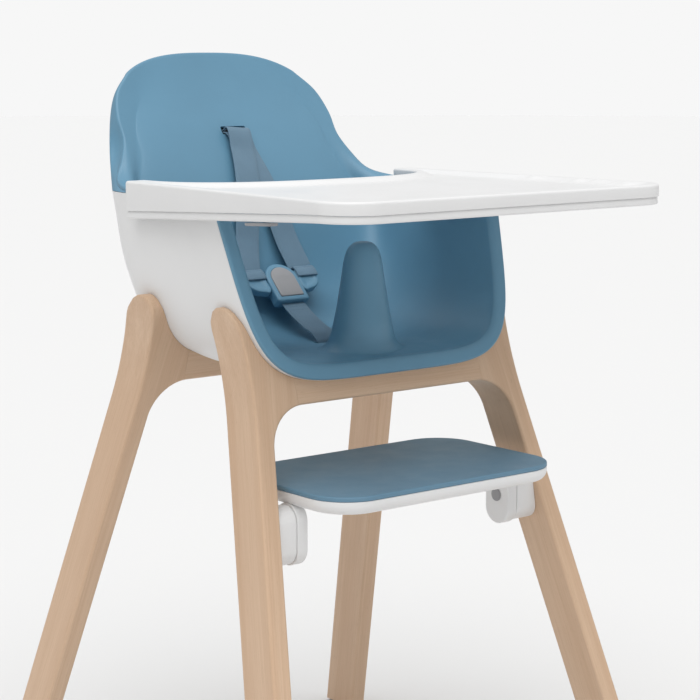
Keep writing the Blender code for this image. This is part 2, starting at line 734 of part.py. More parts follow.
def make_tray_top(mat):
    outline = tray_outline()
    count = len(outline)
    under = TRAY_TOP_Z - TRAY_DISH - TRAY_WALL

    def loop(inset, height):
        return [(p[0], p[1], height(outline[i][1], is_outer(i, count)))
                for i, p in enumerate(inset_outline(outline, inset))]

    def dish_loop(inset, height):
        """Like loop, but the inset stays inside the narrow arms and their round ends."""
        points = []
        for i, (x, y) in enumerate(outline):
            room = mix(0.030, (TRAY_END_X - TRAY_ARM_INNER_X) * 0.44, smooth((y + 0.060) / 0.080))
            d = min(inset, room)
            px, py = inset_outline(outline, d)[i]
            if y > TRAY_ARM_END_Y - 0.010:
                px = math.copysign(min(max(abs(px), TRAY_ARM_INNER_X + d), TRAY_END_X - d), x)
                py = min(py, TRAY_ARM_END_Y - d)
            points.append((px, py, height(y, is_outer(i, count))))
        return points

    dish = [dish_loop(0.0105, lambda y, outer: TRAY_TOP_Z),
            dish_loop(0.0145, lambda y, outer: TRAY_TOP_Z - (TRAY_DISH - 0.001 if outer else TRAY_DISH * 0.5))]
    rings = [loop(TRAY_WALL, lambda y, outer: under),
             loop(TRAY_WALL, lambda y, outer: band_z(y) if outer else under - 0.0003),
             loop(0.0, lambda y, outer: band_z(y) if outer else under - 0.0003),
             loop(0.0, lambda y, outer: TRAY_TOP_Z - 0.0035),
             loop(0.0010, lambda y, outer: TRAY_TOP_Z - 0.0010),
             loop(0.0035, lambda y, outer: TRAY_TOP_Z)] + dish
    rings.append(dish_loop(0.0190, lambda y, outer: TRAY_TOP_Z - TRAY_DISH))
    return add_object("tray_top", rings_mesh(rings), mat, 25)


def sweep_ribbon(points, across, normal, half_widths, thickness):
    """Closed flat bar along points; across and normal give its width and thickness directions."""
    rings = []
    for p, a, n, w in zip(points, across, normal, half_widths):
        side, up = a * w, n * thickness / 2
        rings.append([p - side - up, p + side - up, p + side + up, p - side + up])
    return rings_mesh(rings)


def make_tray_base(mat):
    """The lower lip of the tray: a frame under the band, open towards the child."""
    outline = tray_outline()
    ends = 9 + 6 + 1
    whole = len(outline)
    order = list(range(whole - ends, whole)) + list(range(ends))
    loops = [inset_outline(outline, inset) for inset in (0.0012, 0.0030, TRAY_WALL + 0.0012)]
    rings = []
    for i in order:
        top = band_z(outline[i][1]) - GAP
        low = top - LIP_HEIGHT
        outer, edge, inner = (loop[i] for loop in loops)
        rings.append([(*outer, top), (*outer, top - LIP_HEIGHT * 0.6), (*edge, low), (*inner, low),
                      (*inner, top)])
    return add_object("tray_base", rings_mesh(rings), mat)


def make_levers(mat):
    """Pull tabs of the tray's catches, below its lower lip on both sides."""
    outline = tray_outline()
    side = [p for p in outline[8:16]]
    x_at = float(np.interp(LEVER_Y, [p[1] for p in side], [p[0] for p in side]))
    top = band_z(LEVER_Y + LEVER_LENGTH / 2) - GAP - LIP_HEIGHT - GAP - 0.0012
    lean = (band_z(LEVER_Y - LEVER_LENGTH / 2) - band_z(LEVER_Y + LEVER_LENGTH / 2)) / LEVER_LENGTH
    for hand, sign in (("left", 1), ("right", -1)):
        rings = []
        for z, inset in ((-LEVER_HEIGHT, 0.0015), (-LEVER_HEIGHT + 0.0015, 0.0), (0, 0.0)):
            outline = round_rectangle(0.007, -LEVER_LENGTH / 2, LEVER_LENGTH / 2, 0.004, inset, 3)
            rings.append([(sign * (x_at - 0.010) + p, LEVER_Y + q, top + z - lean * (q - LEVER_LENGTH / 2))
                          for p, q in outline])
        lever = add_object("tray_lever_" + hand, rings_mesh(rings), mat)
        put_origin(lever, (sign * (x_at - 0.010), LEVER_Y, top))


# ---------------------------------------------------------------- footrest
def plate_rings(levels):
    rings = []
    for z, inset in levels:
        outline = round_rectangle(PLATE_HALF_WIDTH, PLATE_FRONT_Y, PLATE_REAR_Y, PLATE_CORNER, inset, 8)
        rings.append([(x, y, z) for x, y in outline])
    return rings


def make_footrest(white, blue):
    low, top = PLATE_LOW_Z, PLATE_LOW_Z + PLATE_THICK
    pivot = (0, PIVOT_Y, PIVOT_Z)
    frame = add_object("footrest_frame", rings_mesh(plate_rings(
        [(low, 0.010), (low + 0.0015, 0.0045), (low + 0.005, 0.0012), (top, 0.0)])), white)
    pad_low = top + GAP
    pad_top = pad_low + PAD_THICK
    put_origin(frame, pivot)
    pad = rings_mesh(plate_rings(
        [(pad_low, 0.0), (pad_top - 0.0022, 0.0), (pad_top - 0.0006, 0.0008), (pad_top, 0.0026)]))
    put_origin(add_object("footrest_pad", pad, blue), pivot)
    x_out = PLATE_HALF_WIDTH - 0.0035
    x_in = x_out - ARM_THICK
    half = BRACKET_DEPTH / 2
    for hand, sign in (("left", 1), ("right", -1)):
        outline = stadium(PIVOT_Y, PIVOT_Z, half, low - PIVOT_Z + 0.003)
        rings = [[(sign * x, y, z) for y, z in outline] for x in (x_in, x_out)]
        arm = add_cutter("arm_" + hand, rings_mesh(rings))
        boolean(frame, arm, "UNION")
        hole = rings_mesh(rod_x(PIN_RADIUS + PIN_FIT, sign * (x_in - 0.005), sign * (x_out + 0.005),
                                PIVOT_Y, PIVOT_Z))
        boolean(frame, add_cutter("arm_hole_" + hand, hole))
    return x_in, x_out


def leg_inner_plane(sign):
    """A point on the leg's inner face and the direction out of the housing."""
    z = PIVOT_Z
    x = leg_centre_x(z) - LEG_WIDTH / 2 - GAP
    return (sign * x, 0, z), unit(vec(sign, 0, SPLAY))


def make_hinges(x_in, x_out, white, grey):
    for hand, sign in (("left", 1), ("right", -1)):
        outline = stadium(PIVOT_Y, PIVOT_Z, BRACKET_DEPTH / 2, BRACKET_RISE)
        start = x_out + 0.0008
        rings = [[(sign * x, y, z) for y, z in outline] for x in (start, start + 0.060)]
        bm = rings_mesh(rings)
        bmesh.ops.recalc_face_normals(bm, faces=bm.faces)
        point, direction = leg_inner_plane(sign)
        keep_side(bm, point, direction)
        housing = add_object("hinge_housing_" + hand, bm, white)
        pin_end = start + 0.016
        hole = rings_mesh(rod_x(PIN_RADIUS + PIN_FIT, sign * (start - 0.005), sign * (pin_end + 0.001),
                                PIVOT_Y, PIVOT_Z))
        boolean(housing, add_cutter("housing_hole_" + hand, hole))
        head_out = x_in - GAP
        rings = rod_x(PIN_HEAD_RADIUS - 0.0008, sign * (head_out - PIN_HEAD_THICK),
                      sign * (head_out - PIN_HEAD_THICK), PIVOT_Y, PIVOT_Z)[:1]
        rings += rod_x(PIN_HEAD_RADIUS, sign * (head_out - PIN_HEAD_THICK + 0.0008), sign * head_out,
                       PIVOT_Y, PIVOT_Z)
        rings += rod_x(PIN_RADIUS, sign * head_out, sign * pin_end, PIVOT_Y, PIVOT_Z)
        add_object("pivot_pin_" + hand, rings_mesh(rings), grey)


# ---------------------------------------------------------------- harness
def surface_tree(grid):
    bm = bmesh.new()
    add_grid(bm, grid)
    bm.normal_update()
    tree = BVHTree.FromBMesh(bm)
    bm.free()
    return tree


def on_back(tree, x, z):
    """The seat back's surface point and its outward direction at (x, z)."""
    place, normal, _, _ = tree.ray_cast(Vector((x + RAY_NUDGE, -0.02, z)), Vector((0, 1, 0)))
    n = np.array(normal)
    return np.array(place), n if n[1] < 0 else -n


def on_floor(tree, x, y):
    place, normal, _, _ = tree.ray_cast(Vector((x + RAY_NUDGE, y, 0.70)), Vector((0, 0, -1)))
    n = np.array(normal)
    return np.array(place), n if n[2] > 0 else -n


def ribbon_along(name, points, guide, mat, width=STRAP_WIDTH):
    """Webbing through points; guide gives the direction its face looks at each point."""
    pts = np.array(points)
    along = np.gradient(pts, axis=0)
    along /= np.linalg.norm(along, axis=1)[:, None]
    across = np.cross(along, np.array(guide))
    across /= np.linalg.norm(across, axis=1)[:, None]
    normal = np.cross(across, along)
    return add_object(name, sweep_ribbon(pts, across, normal, [width / 2] * len(pts), STRAP_THICK), mat)


def shoulder_path(tree, sign, stack, end):
    """A shoulder strap from behind the slot down the back to the buckle's tongue."""
    keys = [(0.000, SLOT_Z - 0.0035 + 0.7 * stack, 0.0020 + stack), (0.004, SLOT_Z - 0.030, 0.0030 + stack),
            (0.0125, 0.780, 0.0045 + stack), (0.0245, 0.735, 0.0070 + stack / 2), (0.0320, 0.700, 0.0095)]
    points, guide = [], []
    root, out = on_back(tree, 0, SLOT_Z)
    level = unit(vec(0, -0.35, 0.94))
    for depth in (0.018, 0.006):
        points.append(root - out * depth + level * (stack - SLOT_HALF_HEIGHT / 2))
        guide.append(level)
    for x, z, air in keys:
        place, normal = on_back(tree, sign * x, z)
        points.append(place + normal * (air + STRAP_THICK / 2))
        guide.append(normal)
    points.append(end)
    guide.append(guide[-1])
    samples = np.linspace(0, 1, 28) ** 1.6
    return spline(points, samples), spline(points, samples, guide)


def buckle_frame(tree):
    """The buckle's placement: origin in its middle, its face out from the seat back."""
    place, normal = on_back(tree, 0, BUCKLE_Z)
    face = unit(vec(0, -0.72, 0.70))
    up = unit(np.cross(vec(1, 0, 0), face)) * -1
    if up[2] < 0:
        up = -up
    origin = vec(0, place[1] - BUCKLE_THICK / 2 - BUCKLE_AIR, BUCKLE_Z)
    return origin, up, face


def plate_mesh(outline, low, high, origin, up, face, edge):
    """A flat piece of the buckle: an outline (across, up) between two depths, with rounded edges."""
    pts = np.array(outline)
    centre = pts.mean(axis=0)
    levels = [(low, edge), (low + edge, 0), (high - edge, 0), (high - edge * 0.3, edge * 0.3), (high, edge)]
    rings = []
    for depth, inset in levels:
        ring = centre + (pts - centre) * (1 - inset / 0.012)
        rings.append([origin + vec(1, 0, 0) * a + up * b + face * depth for a, b in ring])
    return rings_mesh(rings)


def arch_outline(half, low, high, steps=8):
    """A doorway shape: square below, half-round above."""
    return [(-half, low), (half, low)] + arc(0, high - half, half, 0, 180, steps)


def make_harness(surfaces, blue, grey, web):
    tree = surface_tree(surfaces[3])
    origin, up, face = buckle_frame(tree)
    half, low = BUCKLE_WIDTH / 2, -BUCKLE_HEIGHT / 2
    body = add_object("buckle_body", plate_mesh(arch_outline(half, low, -low), -BUCKLE_THICK / 2,
                                                BUCKLE_THICK / 2, origin, up, face, 0.0015), blue)
    press_half = half - BUTTON_INSET
    press = arch_outline(press_half, low + BUTTON_INSET, -low - BUTTON_INSET)
    fit = 0.0004
    pocket = arch_outline(press_half + fit, low + BUTTON_INSET - fit, -low - BUTTON_INSET + fit)
    floor = BUCKLE_THICK / 2 - 0.0055
    pocket_mesh = plate_mesh(pocket, floor, BUCKLE_THICK, origin, up, face, 0.00001)
    boolean(body, add_cutter("button_pocket", pocket_mesh))
    button = plate_mesh(press, floor + 0.0030, BUCKLE_THICK / 2 + BUTTON_PROUD, origin, up, face, 0.0009)
    put_origin(add_object("buckle_button", button, grey), origin)
    for hand, sign, stack in (("left", 1, 0.0), ("right", -1, STRAP_THICK * 2.6)):
        near, far = half + GAP, half + GAP + TONGUE_WIDTH
        crown = -low - TONGUE_DROP
        outline = [(near, low + 0.016), (far - 0.012, low + 0.020), (far - 0.004, low + 0.026),
                   (far, low + 0.034), (far, crown - 0.002), (far - 0.002, crown), (near + 0.002, crown),
                   (near, crown - 0.002)]
        outline = [(sign * a, b) for a, b in outline][::sign]
        tongue = plate_mesh(outline, -BUCKLE_THICK * 0.36, BUCKLE_THICK * 0.36, origin, up, face, 0.0012)
        put_origin(add_object("buckle_tongue_" + hand, tongue, blue), origin)
        end = origin + vec(sign * (near + far) / 2, 0, 0) + up * (crown + STRAP_WIDTH * STRAP_SLANT)
        points, guide = shoulder_path(tree, sign, stack, end)
        ribbon_along("shoulder_strap_" + hand, points, guide, web)
    place, normal = on_floor(tree, 0, CROTCH_SLOT_Y)
    keys = [place + vec(0, 0.002, -0.014), place + vec(0, 0.0015, -0.001), place + vec(0, 0.010, 0.008)]
    guide = [vec(0, -1, 0), vec(0, -0.9, 0.45), unit(vec(0, -0.5, 0.85))]
    end = origin + up * (low - 0.0008)
    for t in (0.35, 0.75):
        keys.append(mix(keys[2], end, t) - vec(0, 0, 0.002))
        guide.append(unit(vec(0, -0.45, 0.89)))
    keys.append(end)
    guide.append(face)
    samples = np.linspace(0, 1, 20)
    ribbon_along("crotch_strap", spline(keys, samples), spline(keys, samples, guide), web)


def cut_strap_slots(seat, surfaces):
    tree = surface_tree(surfaces[3])
    root, out = on_back(tree, 0, SLOT_Z)
    bm = box_mesh((-SLOT_HALF_WIDTH, -0.010, -SLOT_HALF_HEIGHT), (SLOT_HALF_WIDTH, 0.010, SLOT_HALF_HEIGHT))
    tilt = math.atan2(out[2], -out[1])
    bmesh.ops.rotate(bm, cent=(0, 0, 0), matrix=Matrix.Rotation(-tilt, 3, "X"), verts=bm.verts)
    bmesh.ops.translate(bm, vec=Vector(root), verts=bm.verts)
    boolean(seat, add_cutter("shoulder_slot", bm))
    place, _ = on_floor(tree, 0, CROTCH_SLOT_Y)
    half = SLOT_HALF_WIDTH
    low = (-half, CROTCH_SLOT_Y - 0.0035, place[2] - 0.012)
    high = (half, CROTCH_SLOT_Y + 0.0065, place[2] + 0.012)
    boolean(seat, add_cutter("crotch_slot", box_mesh(low, high)))


def centre_everything():
    """Hang every object on an empty that stands the chair on the floor, with its middle at Y = 0."""
    rear_foot = STANCE_Y + RAKE * (KNEE_Z - FLOOR_Z - GLIDE_HEIGHT - GAP) + LEG_DEPTH / 2
    empty = bpy.data.objects.new("chair", None)
    empty.location = (0, -(TRAY_FRONT_Y + rear_foot) / 2, -FLOOR_Z)
    for obj in list(bpy.data.objects):
        if obj != empty:
            obj.parent = empty
    bpy.context.scene.collection.objects.link(empty)


def build():
    for old in list(bpy.data.objects):
        bpy.data.objects.remove(old)
    white = material("white_plastic", (0.80, 0.80, 0.80), 0.35)
    blue = material("blue_plastic", (0.14, 0.29, 0.41), 0.45)
    wood = material("beech", (0.62, 0.46, 0.33), 0.55)
    grey = material("grey_plastic", (0.25, 0.26, 0.27), 0.50)
    web = material("webbing", (0.15, 0.28, 0.38), 0.85)
    surfaces = seat_surfaces()
    make_outer_shell(white)
    seat = make_seat_shell(surfaces, blue)
    boolean(seat, add_cutter("post", make_post_mesh()), "UNION")
    cut_strap_slots(seat, surfaces)
    cradle = make_shell_envelope()
    make_frame("front", -1, wood, cradle)
    make_frame("rear", 1, wood, cradle)
    make_glides(grey)
    make_tray_top(white)
    make_tray_base(white)
    make_levers(grey)
    x_in, x_out = make_footrest(white, blue)
    make_hinges(x_in, x_out, white, grey)
    make_harness(surfaces, blue, grey, web)
    centre_everything()


build()
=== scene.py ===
"""Looks of the baby high chair: smooth moulded surfaces, beech, webbing, stitches, light and camera.

Metres. The CAD frame gives every size; the surfaces repeat the chair's own construction on a finer mesh.
"""
import math

import bmesh
import bpy
import numpy as np
from mathutils import Matrix, Vector
from mathutils.bvhtree import BVHTree
from mathutils.geometry import delaunay_2d_cdt


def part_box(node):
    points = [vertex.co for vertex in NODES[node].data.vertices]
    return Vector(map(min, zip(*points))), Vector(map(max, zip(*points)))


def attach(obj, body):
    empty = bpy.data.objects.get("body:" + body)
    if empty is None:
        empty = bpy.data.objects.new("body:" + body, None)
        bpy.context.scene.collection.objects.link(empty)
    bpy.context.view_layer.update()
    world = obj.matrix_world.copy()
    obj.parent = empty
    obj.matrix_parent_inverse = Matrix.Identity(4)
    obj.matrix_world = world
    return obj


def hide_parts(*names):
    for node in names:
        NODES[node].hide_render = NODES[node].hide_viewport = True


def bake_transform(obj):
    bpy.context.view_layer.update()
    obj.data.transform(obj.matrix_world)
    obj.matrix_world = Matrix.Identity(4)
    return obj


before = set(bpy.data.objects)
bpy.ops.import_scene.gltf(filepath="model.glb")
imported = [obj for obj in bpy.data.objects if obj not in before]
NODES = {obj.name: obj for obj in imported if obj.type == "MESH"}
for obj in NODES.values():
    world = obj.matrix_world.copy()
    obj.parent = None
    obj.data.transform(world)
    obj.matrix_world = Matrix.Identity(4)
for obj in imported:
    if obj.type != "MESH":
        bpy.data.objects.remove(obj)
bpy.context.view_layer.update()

# ---------------------------------------------------------------- driving dimensions
GAP = 0.0004                  # air between touching pieces
FLOOR_Z = -0.055              # the floor, in the heights used here: the chair is lifted by as much
# leg frames
RAKE = 0.312                  # how far a leg runs out in Y for each metre down
SPLAY = 0.153                 # how far a leg runs out in X for each metre down
KNEE_Z = 0.500                # height at which the leg stance is given
STANCE_INSET = 0.0225         # leg centre line at the knee height, inside the seat's widest place
STANCE_Y = 0.131
LEG_WIDTH = 0.026
LEG_DEPTH = 0.063
LEG_EDGE = 0.004              # rounding of the long edges
LEG_TOP_Z = 0.646
LEG_TOP_INSET = 0.0100        # outer face at the leg's top, inside the seat's widest place
LEG_BEND_Z = 0.505            # the outer edge is straight below this
BAR_LOW_Z = 0.528             # underside of the crossbars
ARCH_RADIUS = 0.054           # swept corner between leg and crossbar
BAR_JOINT_X = 0.150           # glue line between leg and crossbar
GLIDE_HEIGHT = 0.004
# seat
SEAT_HALF_WIDTH = 0.229       # over the rim at the front of the arms
PLAN_TAPER = 0.040            # arms close towards the back
ARM_TOP_Z = 0.780
SEAM_DROP = 0.0065            # blue rim over the white shell at the arms
SHELL_BOTTOM_Z = 0.551
LIP_Z = 0.5555                # lowest point of the front rim
RIM_AHEAD = 0.047             # rim plane in front of the front frame's middle plane
RIM_WIDTH = 0.020
RIM_THICK = 0.0055
RIM_ROUND = 0.003
SHELL_WALL = 0.003
SEAT_WALL = 0.004
SKIRT_WALL = 0.0032
SIDE_DRAFT = 0.120
BACK_TOP_Z = 0.950
BACK_ARCH = 2.7               # squareness of the back's arch: 2 is an ellipse
BACK_RAKE = 0.580             # slope of the back rim's plane
BACK_ROOT_Y = 0.1470          # that plane at arm height
BACK_HALF_WIDTH = 0.179
BACK_BULGE = 0.034            # depth of the back's rear skin behind the rim
SHELL_REAR_Y = 0.205          # rearmost point of the seam
CORNER_Y = 0.070              # where the seam starts to turn round the back
SEAT_FLOOR_Z = 0.578
SEAT_REAR_Y = 0.088           # where the floor meets the back
SLOT_Z = 0.845                # shoulder strap slot
SLOT_SIDE_AIR = 0.0020        # slot's end beyond the strap's edge
SLOT_HALF_HEIGHT = 0.0060
CROTCH_SLOT_Y = -0.024
POST_Y = -0.092
POST_TOP_Z = 0.714
POST_RADIUS = 0.0240
# tray
TRAY_TOP_Z = 0.790
TRAY_FRONT_Y = -0.380
TRAY_HALF_WIDTH = 0.262
TRAY_CORNER = 0.052
TRAY_ARM_END_Y = 0.092
TRAY_BELLY_Y = -0.037
TRAY_ARM_INNER_X = 0.204
TRAY_WALL = 0.0035
TRAY_DISH = 0.0055
TRAY_FIT = 0.0015             # tray arm to seat rim
BAND_FRONT_Z = 0.7745         # lower edge of the tray's band at the front
BAND_REAR_Z = 0.7520
LIP_HEIGHT = 0.0090
LEVER_LENGTH = 0.050
LEVER_HEIGHT = 0.0035
LEVER_Y = -0.205
# footrest
PIVOT_Y = -0.168
PIVOT_Z = 0.377
PLATE_SIDE_AIR = 0.0203        # plate's side to the inner face of the leg
PLATE_FRONT_Y = -0.273
PLATE_REAR_Y = -0.039
PLATE_CORNER = 0.055
PLATE_LOW_Z = 0.4125
PLATE_THICK = 0.0167
PAD_THICK = 0.0058
ARM_THICK = 0.016
BRACKET_DEPTH = 0.043
BRACKET_RISE = 0.0365         # hinge housing above and below the pivot
PIN_RADIUS = 0.0050
PIN_HEAD_RADIUS = 0.0085
PIN_HEAD_THICK = 0.0022
# harness
STRAP_WIDTH = 0.037
STRAP_THICK = 0.0016
STRAP_SLANT = 0.1216          # slope of a shoulder strap's end over its tongue
BUCKLE_Z = 0.643
BUCKLE_WIDTH = 0.052
BUCKLE_HEIGHT = 0.062
BUCKLE_THICK = 0.015
BUCKLE_AIR = 0.020            # buckle's back in front of the seat's surface
TONGUE_INSET = 0.0020         # tongue's side inside the strap's edge
TONGUE_DROP = 0.010           # tongues' upper edge below the buckle's crown
BUTTON_INSET = 0.0072
BUTTON_PROUD = 0.0020

SEAM_Z = ARM_TOP_Z - SEAM_DROP
STANCE_X = SEAT_HALF_WIDTH - STANCE_INSET
LEG_TOP_X = SEAT_HALF_WIDTH - LEG_TOP_INSET
SLOT_HALF_WIDTH = STRAP_WIDTH / 2 + SLOT_SIDE_AIR
TONGUE_WIDTH = STRAP_WIDTH - 2 * TONGUE_INSET
LEG_INSIDE_X = STANCE_X + SPLAY * (KNEE_Z - PLATE_LOW_Z - PLATE_THICK) - LEG_WIDTH / 2   # at the footrest
PLATE_HALF_WIDTH = LEG_INSIDE_X - PLATE_SIDE_AIR
TRAY_END_X = SEAT_HALF_WIDTH + TRAY_FIT + TRAY_WALL + 0.0015   # outer side of the tray's arm ends
NU = 120                      # facets across the seat's sections
NV = 96                       # facets along the seat, from lip to crest
TURN = NV * 3 // 22           # facets over which the seam leaves the front rim
RAY_NUDGE = 0.0001            # keeps a surface reading off the middle seam of the facets


# ---------------------------------------------------------------- small tools
def vec(x, y, z):
    return np.array([x, y, z], float)


def unit(v):
    return v / np.linalg.norm(v)


def smooth(t):
    t = min(max(t, 0.0), 1.0)
    return t * t * (3 - 2 * t)


def mix(a, b, t):
    return a + (b - a) * t


def spline(points, params, values=None):
    """Smooth curve through the points, read at params from 0 to 1 by chord length.

    With values, one for each point, it gives the values at the same places along the curve.
    """
    pts = np.array(points, float)
    chord = np.r_[0, np.cumsum(np.linalg.norm(np.diff(pts, axis=0), axis=1))]
    pts = pts if values is None else np.array(values, float)
    slope = np.gradient(pts, chord, axis=0)
    result = []
    for s in np.asarray(params, float) * chord[-1]:
        k = int(min(max(np.searchsorted(chord, s) - 1, 0), len(chord) - 2))
        h = chord[k + 1] - chord[k]
        t = (s - chord[k]) / h
        a = (1 + 2 * t) * (1 - t) ** 2
        b = t * (1 - t) ** 2
        c = t * t * (3 - 2 * t)
        d = t * t * (t - 1)
        result.append(a * pts[k] + b * h * slope[k] + c * pts[k + 1] + d * h * slope[k + 1])
    return np.array(result)


def squircle(u, power):
    """Quarter superellipse at u from 0 (the middle) to 1 (the rim): (across, up), both 0 to 1."""
    angle = abs(u) * math.pi / 2
    a, b = math.sin(angle), math.cos(angle)
    reach = (a ** power + b ** power) ** (-1 / power)
    return reach * a, 1 - reach * b


def front_plane_y(z):
    """The seat's front rim lies in a plane with the rake of the front legs."""
    return -STANCE_Y - RAKE * (KNEE_Z - z) - RIM_AHEAD


def arm_half_width(y):
    """Outer face of the seat at the seam, along the arms."""
    return SEAT_HALF_WIDTH - PLAN_TAPER * (y - front_plane_y(SEAM_Z))


# ---------------------------------------------------------------- seat surfaces
FRONT_DEEP = unit(vec(0, 1, -RAKE))        # into the seat, square to the front rim
ARM_DEEP = vec(0, 0, -1)
BACK_DEEP = unit(vec(0, 1, -BACK_RAKE))    # into the back, square to the back rim


def front_rim(u):
    """Outer edge of the front rim, from the left arm (u = -1) under the lip to the right arm."""
    top = SEAM_Z
    across, up = squircle(u, 5.5)
    z = mix(LIP_Z, top, up)
    x = across * (SEAT_HALF_WIDTH - SIDE_DRAFT * (top - z))
    return vec(math.copysign(x, u), front_plane_y(z), z)


def back_plane_y(z):
    return BACK_ROOT_Y + BACK_RAKE * (z - ARM_TOP_Z)


def arch(angle):
    """Outer edge of the back rim: 0 degrees at the side, 90 at the crest."""
    root = ARM_TOP_Z + 0.33 * (BACK_TOP_Z - ARM_TOP_Z)
    c, s = math.cos(math.radians(angle)), math.sin(math.radians(angle))
    reach = (c ** BACK_ARCH + s ** BACK_ARCH) ** (-1 / BACK_ARCH)
    z = mix(root, BACK_TOP_Z, reach * s)
    return vec(BACK_HALF_WIDTH * reach * c, back_plane_y(z), z)


def side_rim(count):
    """Outer edge of the rim along the right arm and up the back to 45 degrees of the arch."""
    start = front_rim(1.0)
    arm_y = [start[1] + 0.014, -0.040, 0.020, 0.070, 0.112]
    arm = [vec(arm_half_width(y), y, ARM_TOP_Z) for y in arm_y]
    sweep = [vec(mix(arm_half_width(0.15), BACK_HALF_WIDTH, t), back_plane_y(ARM_TOP_Z + h), ARM_TOP_Z + h)
             for t, h in ((0.34, 0.013), (0.68, 0.031))]
    upper = [arch(a) for a in (0, 15, 30, 45)]
    rim = spline([start] + arm + sweep + upper, np.linspace(0, 1, count + 1))
    level = rim[:, 1] < arm_y[-1]
    rim[level, 2] = np.minimum(rim[level, 2], ARM_TOP_Z)
    return rim


def rim_loop():
    """The whole rim's outer edge as one loop, in the order of border()."""
    front = [front_rim(u) for u in np.linspace(-1, 1, NU + 1)]
    right = side_rim(NV)
    crest = [arch(a) for a in np.linspace(45, 90, NU // 2 + 1)]
    flip = np.array([-1, 1, 1])
    crest = crest + [p * flip for p in crest[-2::-1]]
    left = [p * flip for p in right[::-1]]
    return np.array(front[:-1] + list(right[:-1]) + crest[:-1] + left[:-1])


def deep_directions():
    """Direction into the moulding at each point of the rim loop."""
    side = []
    for k in range(NV):
        v = k / NV
        if v < 0.20:
            side.append(unit(mix(FRONT_DEEP, ARM_DEEP, smooth(v / 0.12))))
        else:
            side.append(unit(mix(ARM_DEEP, BACK_DEEP, smooth((v - 0.45) / 0.25))))
    left = side[1:] + [BACK_DEEP]
    return np.array([FRONT_DEEP] * NU + side + [BACK_DEEP] * NU + left[::-1])


def inward_directions(loop, deep):
    """Direction across the rim, towards the opening."""
    along = np.roll(loop, -1, axis=0) - np.roll(loop, 1, axis=0)
    across = np.cross(deep, along)
    across /= np.linalg.norm(across, axis=1)[:, None]
    return -across


def seam_corner(q):
    """The seam round the back, from the right arm (q = 0) to the middle of the back (q = 1)."""
    across, back = squircle(1 - q, 4.0)
    x = across * arm_half_width(CORNER_Y)
    return vec(x, mix(SHELL_REAR_Y, CORNER_Y, back), SEAM_Z)


def skirt_loop(loop, deep):
    """Lower edge of the blue skirt, which meets the white shell along the seam."""
    edge = loop + deep * RIM_THICK
    right = range(NU, NU + NV + NU // 2 + 1)
    turned = [i for i in right if loop[i][1] > CORNER_Y and i > NU + TURN]
    steps = [np.linalg.norm(loop[i] - loop[i - 1]) for i in turned]
    total = sum(steps)
    walked = np.cumsum(steps) / total
    for i in right:
        if i in turned:
            edge[i] = seam_corner(walked[turned.index(i)])
        elif i > NU:
            edge[i] = vec(loop[i][0], edge[i][1], mix(edge[i][2], SEAM_Z, smooth((i - NU) / TURN)))
    count = len(loop)
    for i in right:
        mirror = (2 * (NU + NV) + NU - i) % count
        edge[mirror] = edge[i] * np.array([-1, 1, 1])
    return edge


SPINE = [(-0.120, SEAT_FLOOR_Z - 0.001), (-0.060, SEAT_FLOOR_Z), (0.010, SEAT_FLOOR_Z + 0.002),
         (SEAT_REAR_Y - 0.030, SEAT_FLOOR_Z + 0.012), (SEAT_REAR_Y + 0.004, SEAT_FLOOR_Z + 0.048)]


def inner_spine(first, last):
    """Middle line of the seat's inner surface, over the floor and up the back."""
    upper = [(back_plane_y(ARM_TOP_Z) - 0.004, ARM_TOP_Z - 0.004),
             (back_plane_y(SLOT_Z) - 0.001, SLOT_Z)]
    points = [first] + [vec(0, y, z) for y, z in SPINE + upper] + [last]
    return spline(points, np.linspace(0, 1, NV + 1))


def sweep_sections(spine, rim, powers, draft, first, last, fade):
    """Superellipse sections from the middle line to the rim; the end rows follow first and last."""
    us = np.linspace(-1, 1, NU + 1)
    grid = np.zeros((NV + 1, NU + 1, 3))
    for k in range(NV + 1):
        for i, u in enumerate(us):
            across, up = squircle(u, powers[k])
            p = mix(spine[k], rim[k], up)
            p[0] = math.copysign(across * (rim[k][0] - draft[k] * (rim[k][2] - p[2])), u)
            grid[k, i] = p
    start, end = first - grid[0], last - grid[-1]
    for k in range(NV + 1):
        v = k / NV
        grid[k] += start * (1 - smooth(v / fade)) + end * (1 - smooth((1 - v) / fade))
    return grid


def grid_normals(grid):
    du = np.gradient(grid, axis=1)
    dv = np.gradient(grid, axis=0)
    n = np.cross(du, dv)
    return n / np.linalg.norm(n, axis=2)[:, :, None]


def seat_inner_grid(edge):
    """Inner surface of the seat, whose border is the given loop."""
    first = edge[:NU + 1]
    right = edge[NU:NU + NV + 1]
    last = edge[NU + NV:NU + NV + NU + 1][::-1]
    vs = np.linspace(0, 1, NV + 1)
    powers = [mix(mix(5.5, 4.2, smooth(v / 0.3)), 2.6, smooth((v - 0.35) / 0.6)) for v in vs]
    draft = [mix(SIDE_DRAFT, 0.0, smooth((v - 0.3) / 0.5)) for v in vs]
    spine = inner_spine(first[NU // 2], last[NU // 2])
    return sweep_sections(spine, right, powers, draft, first, last, 0.25)


def seat_surfaces():
    """All the seat's loops and surfaces, shared by the blue seat, the straps and the post."""
    loop = rim_loop()
    deep = deep_directions()
    inward = inward_directions(loop, deep)

    def offset(inset, depth):
        return loop + inward * inset + deep * depth

    inner = seat_inner_grid(offset(RIM_WIDTH, RIM_THICK))
    return loop, deep, offset, inner


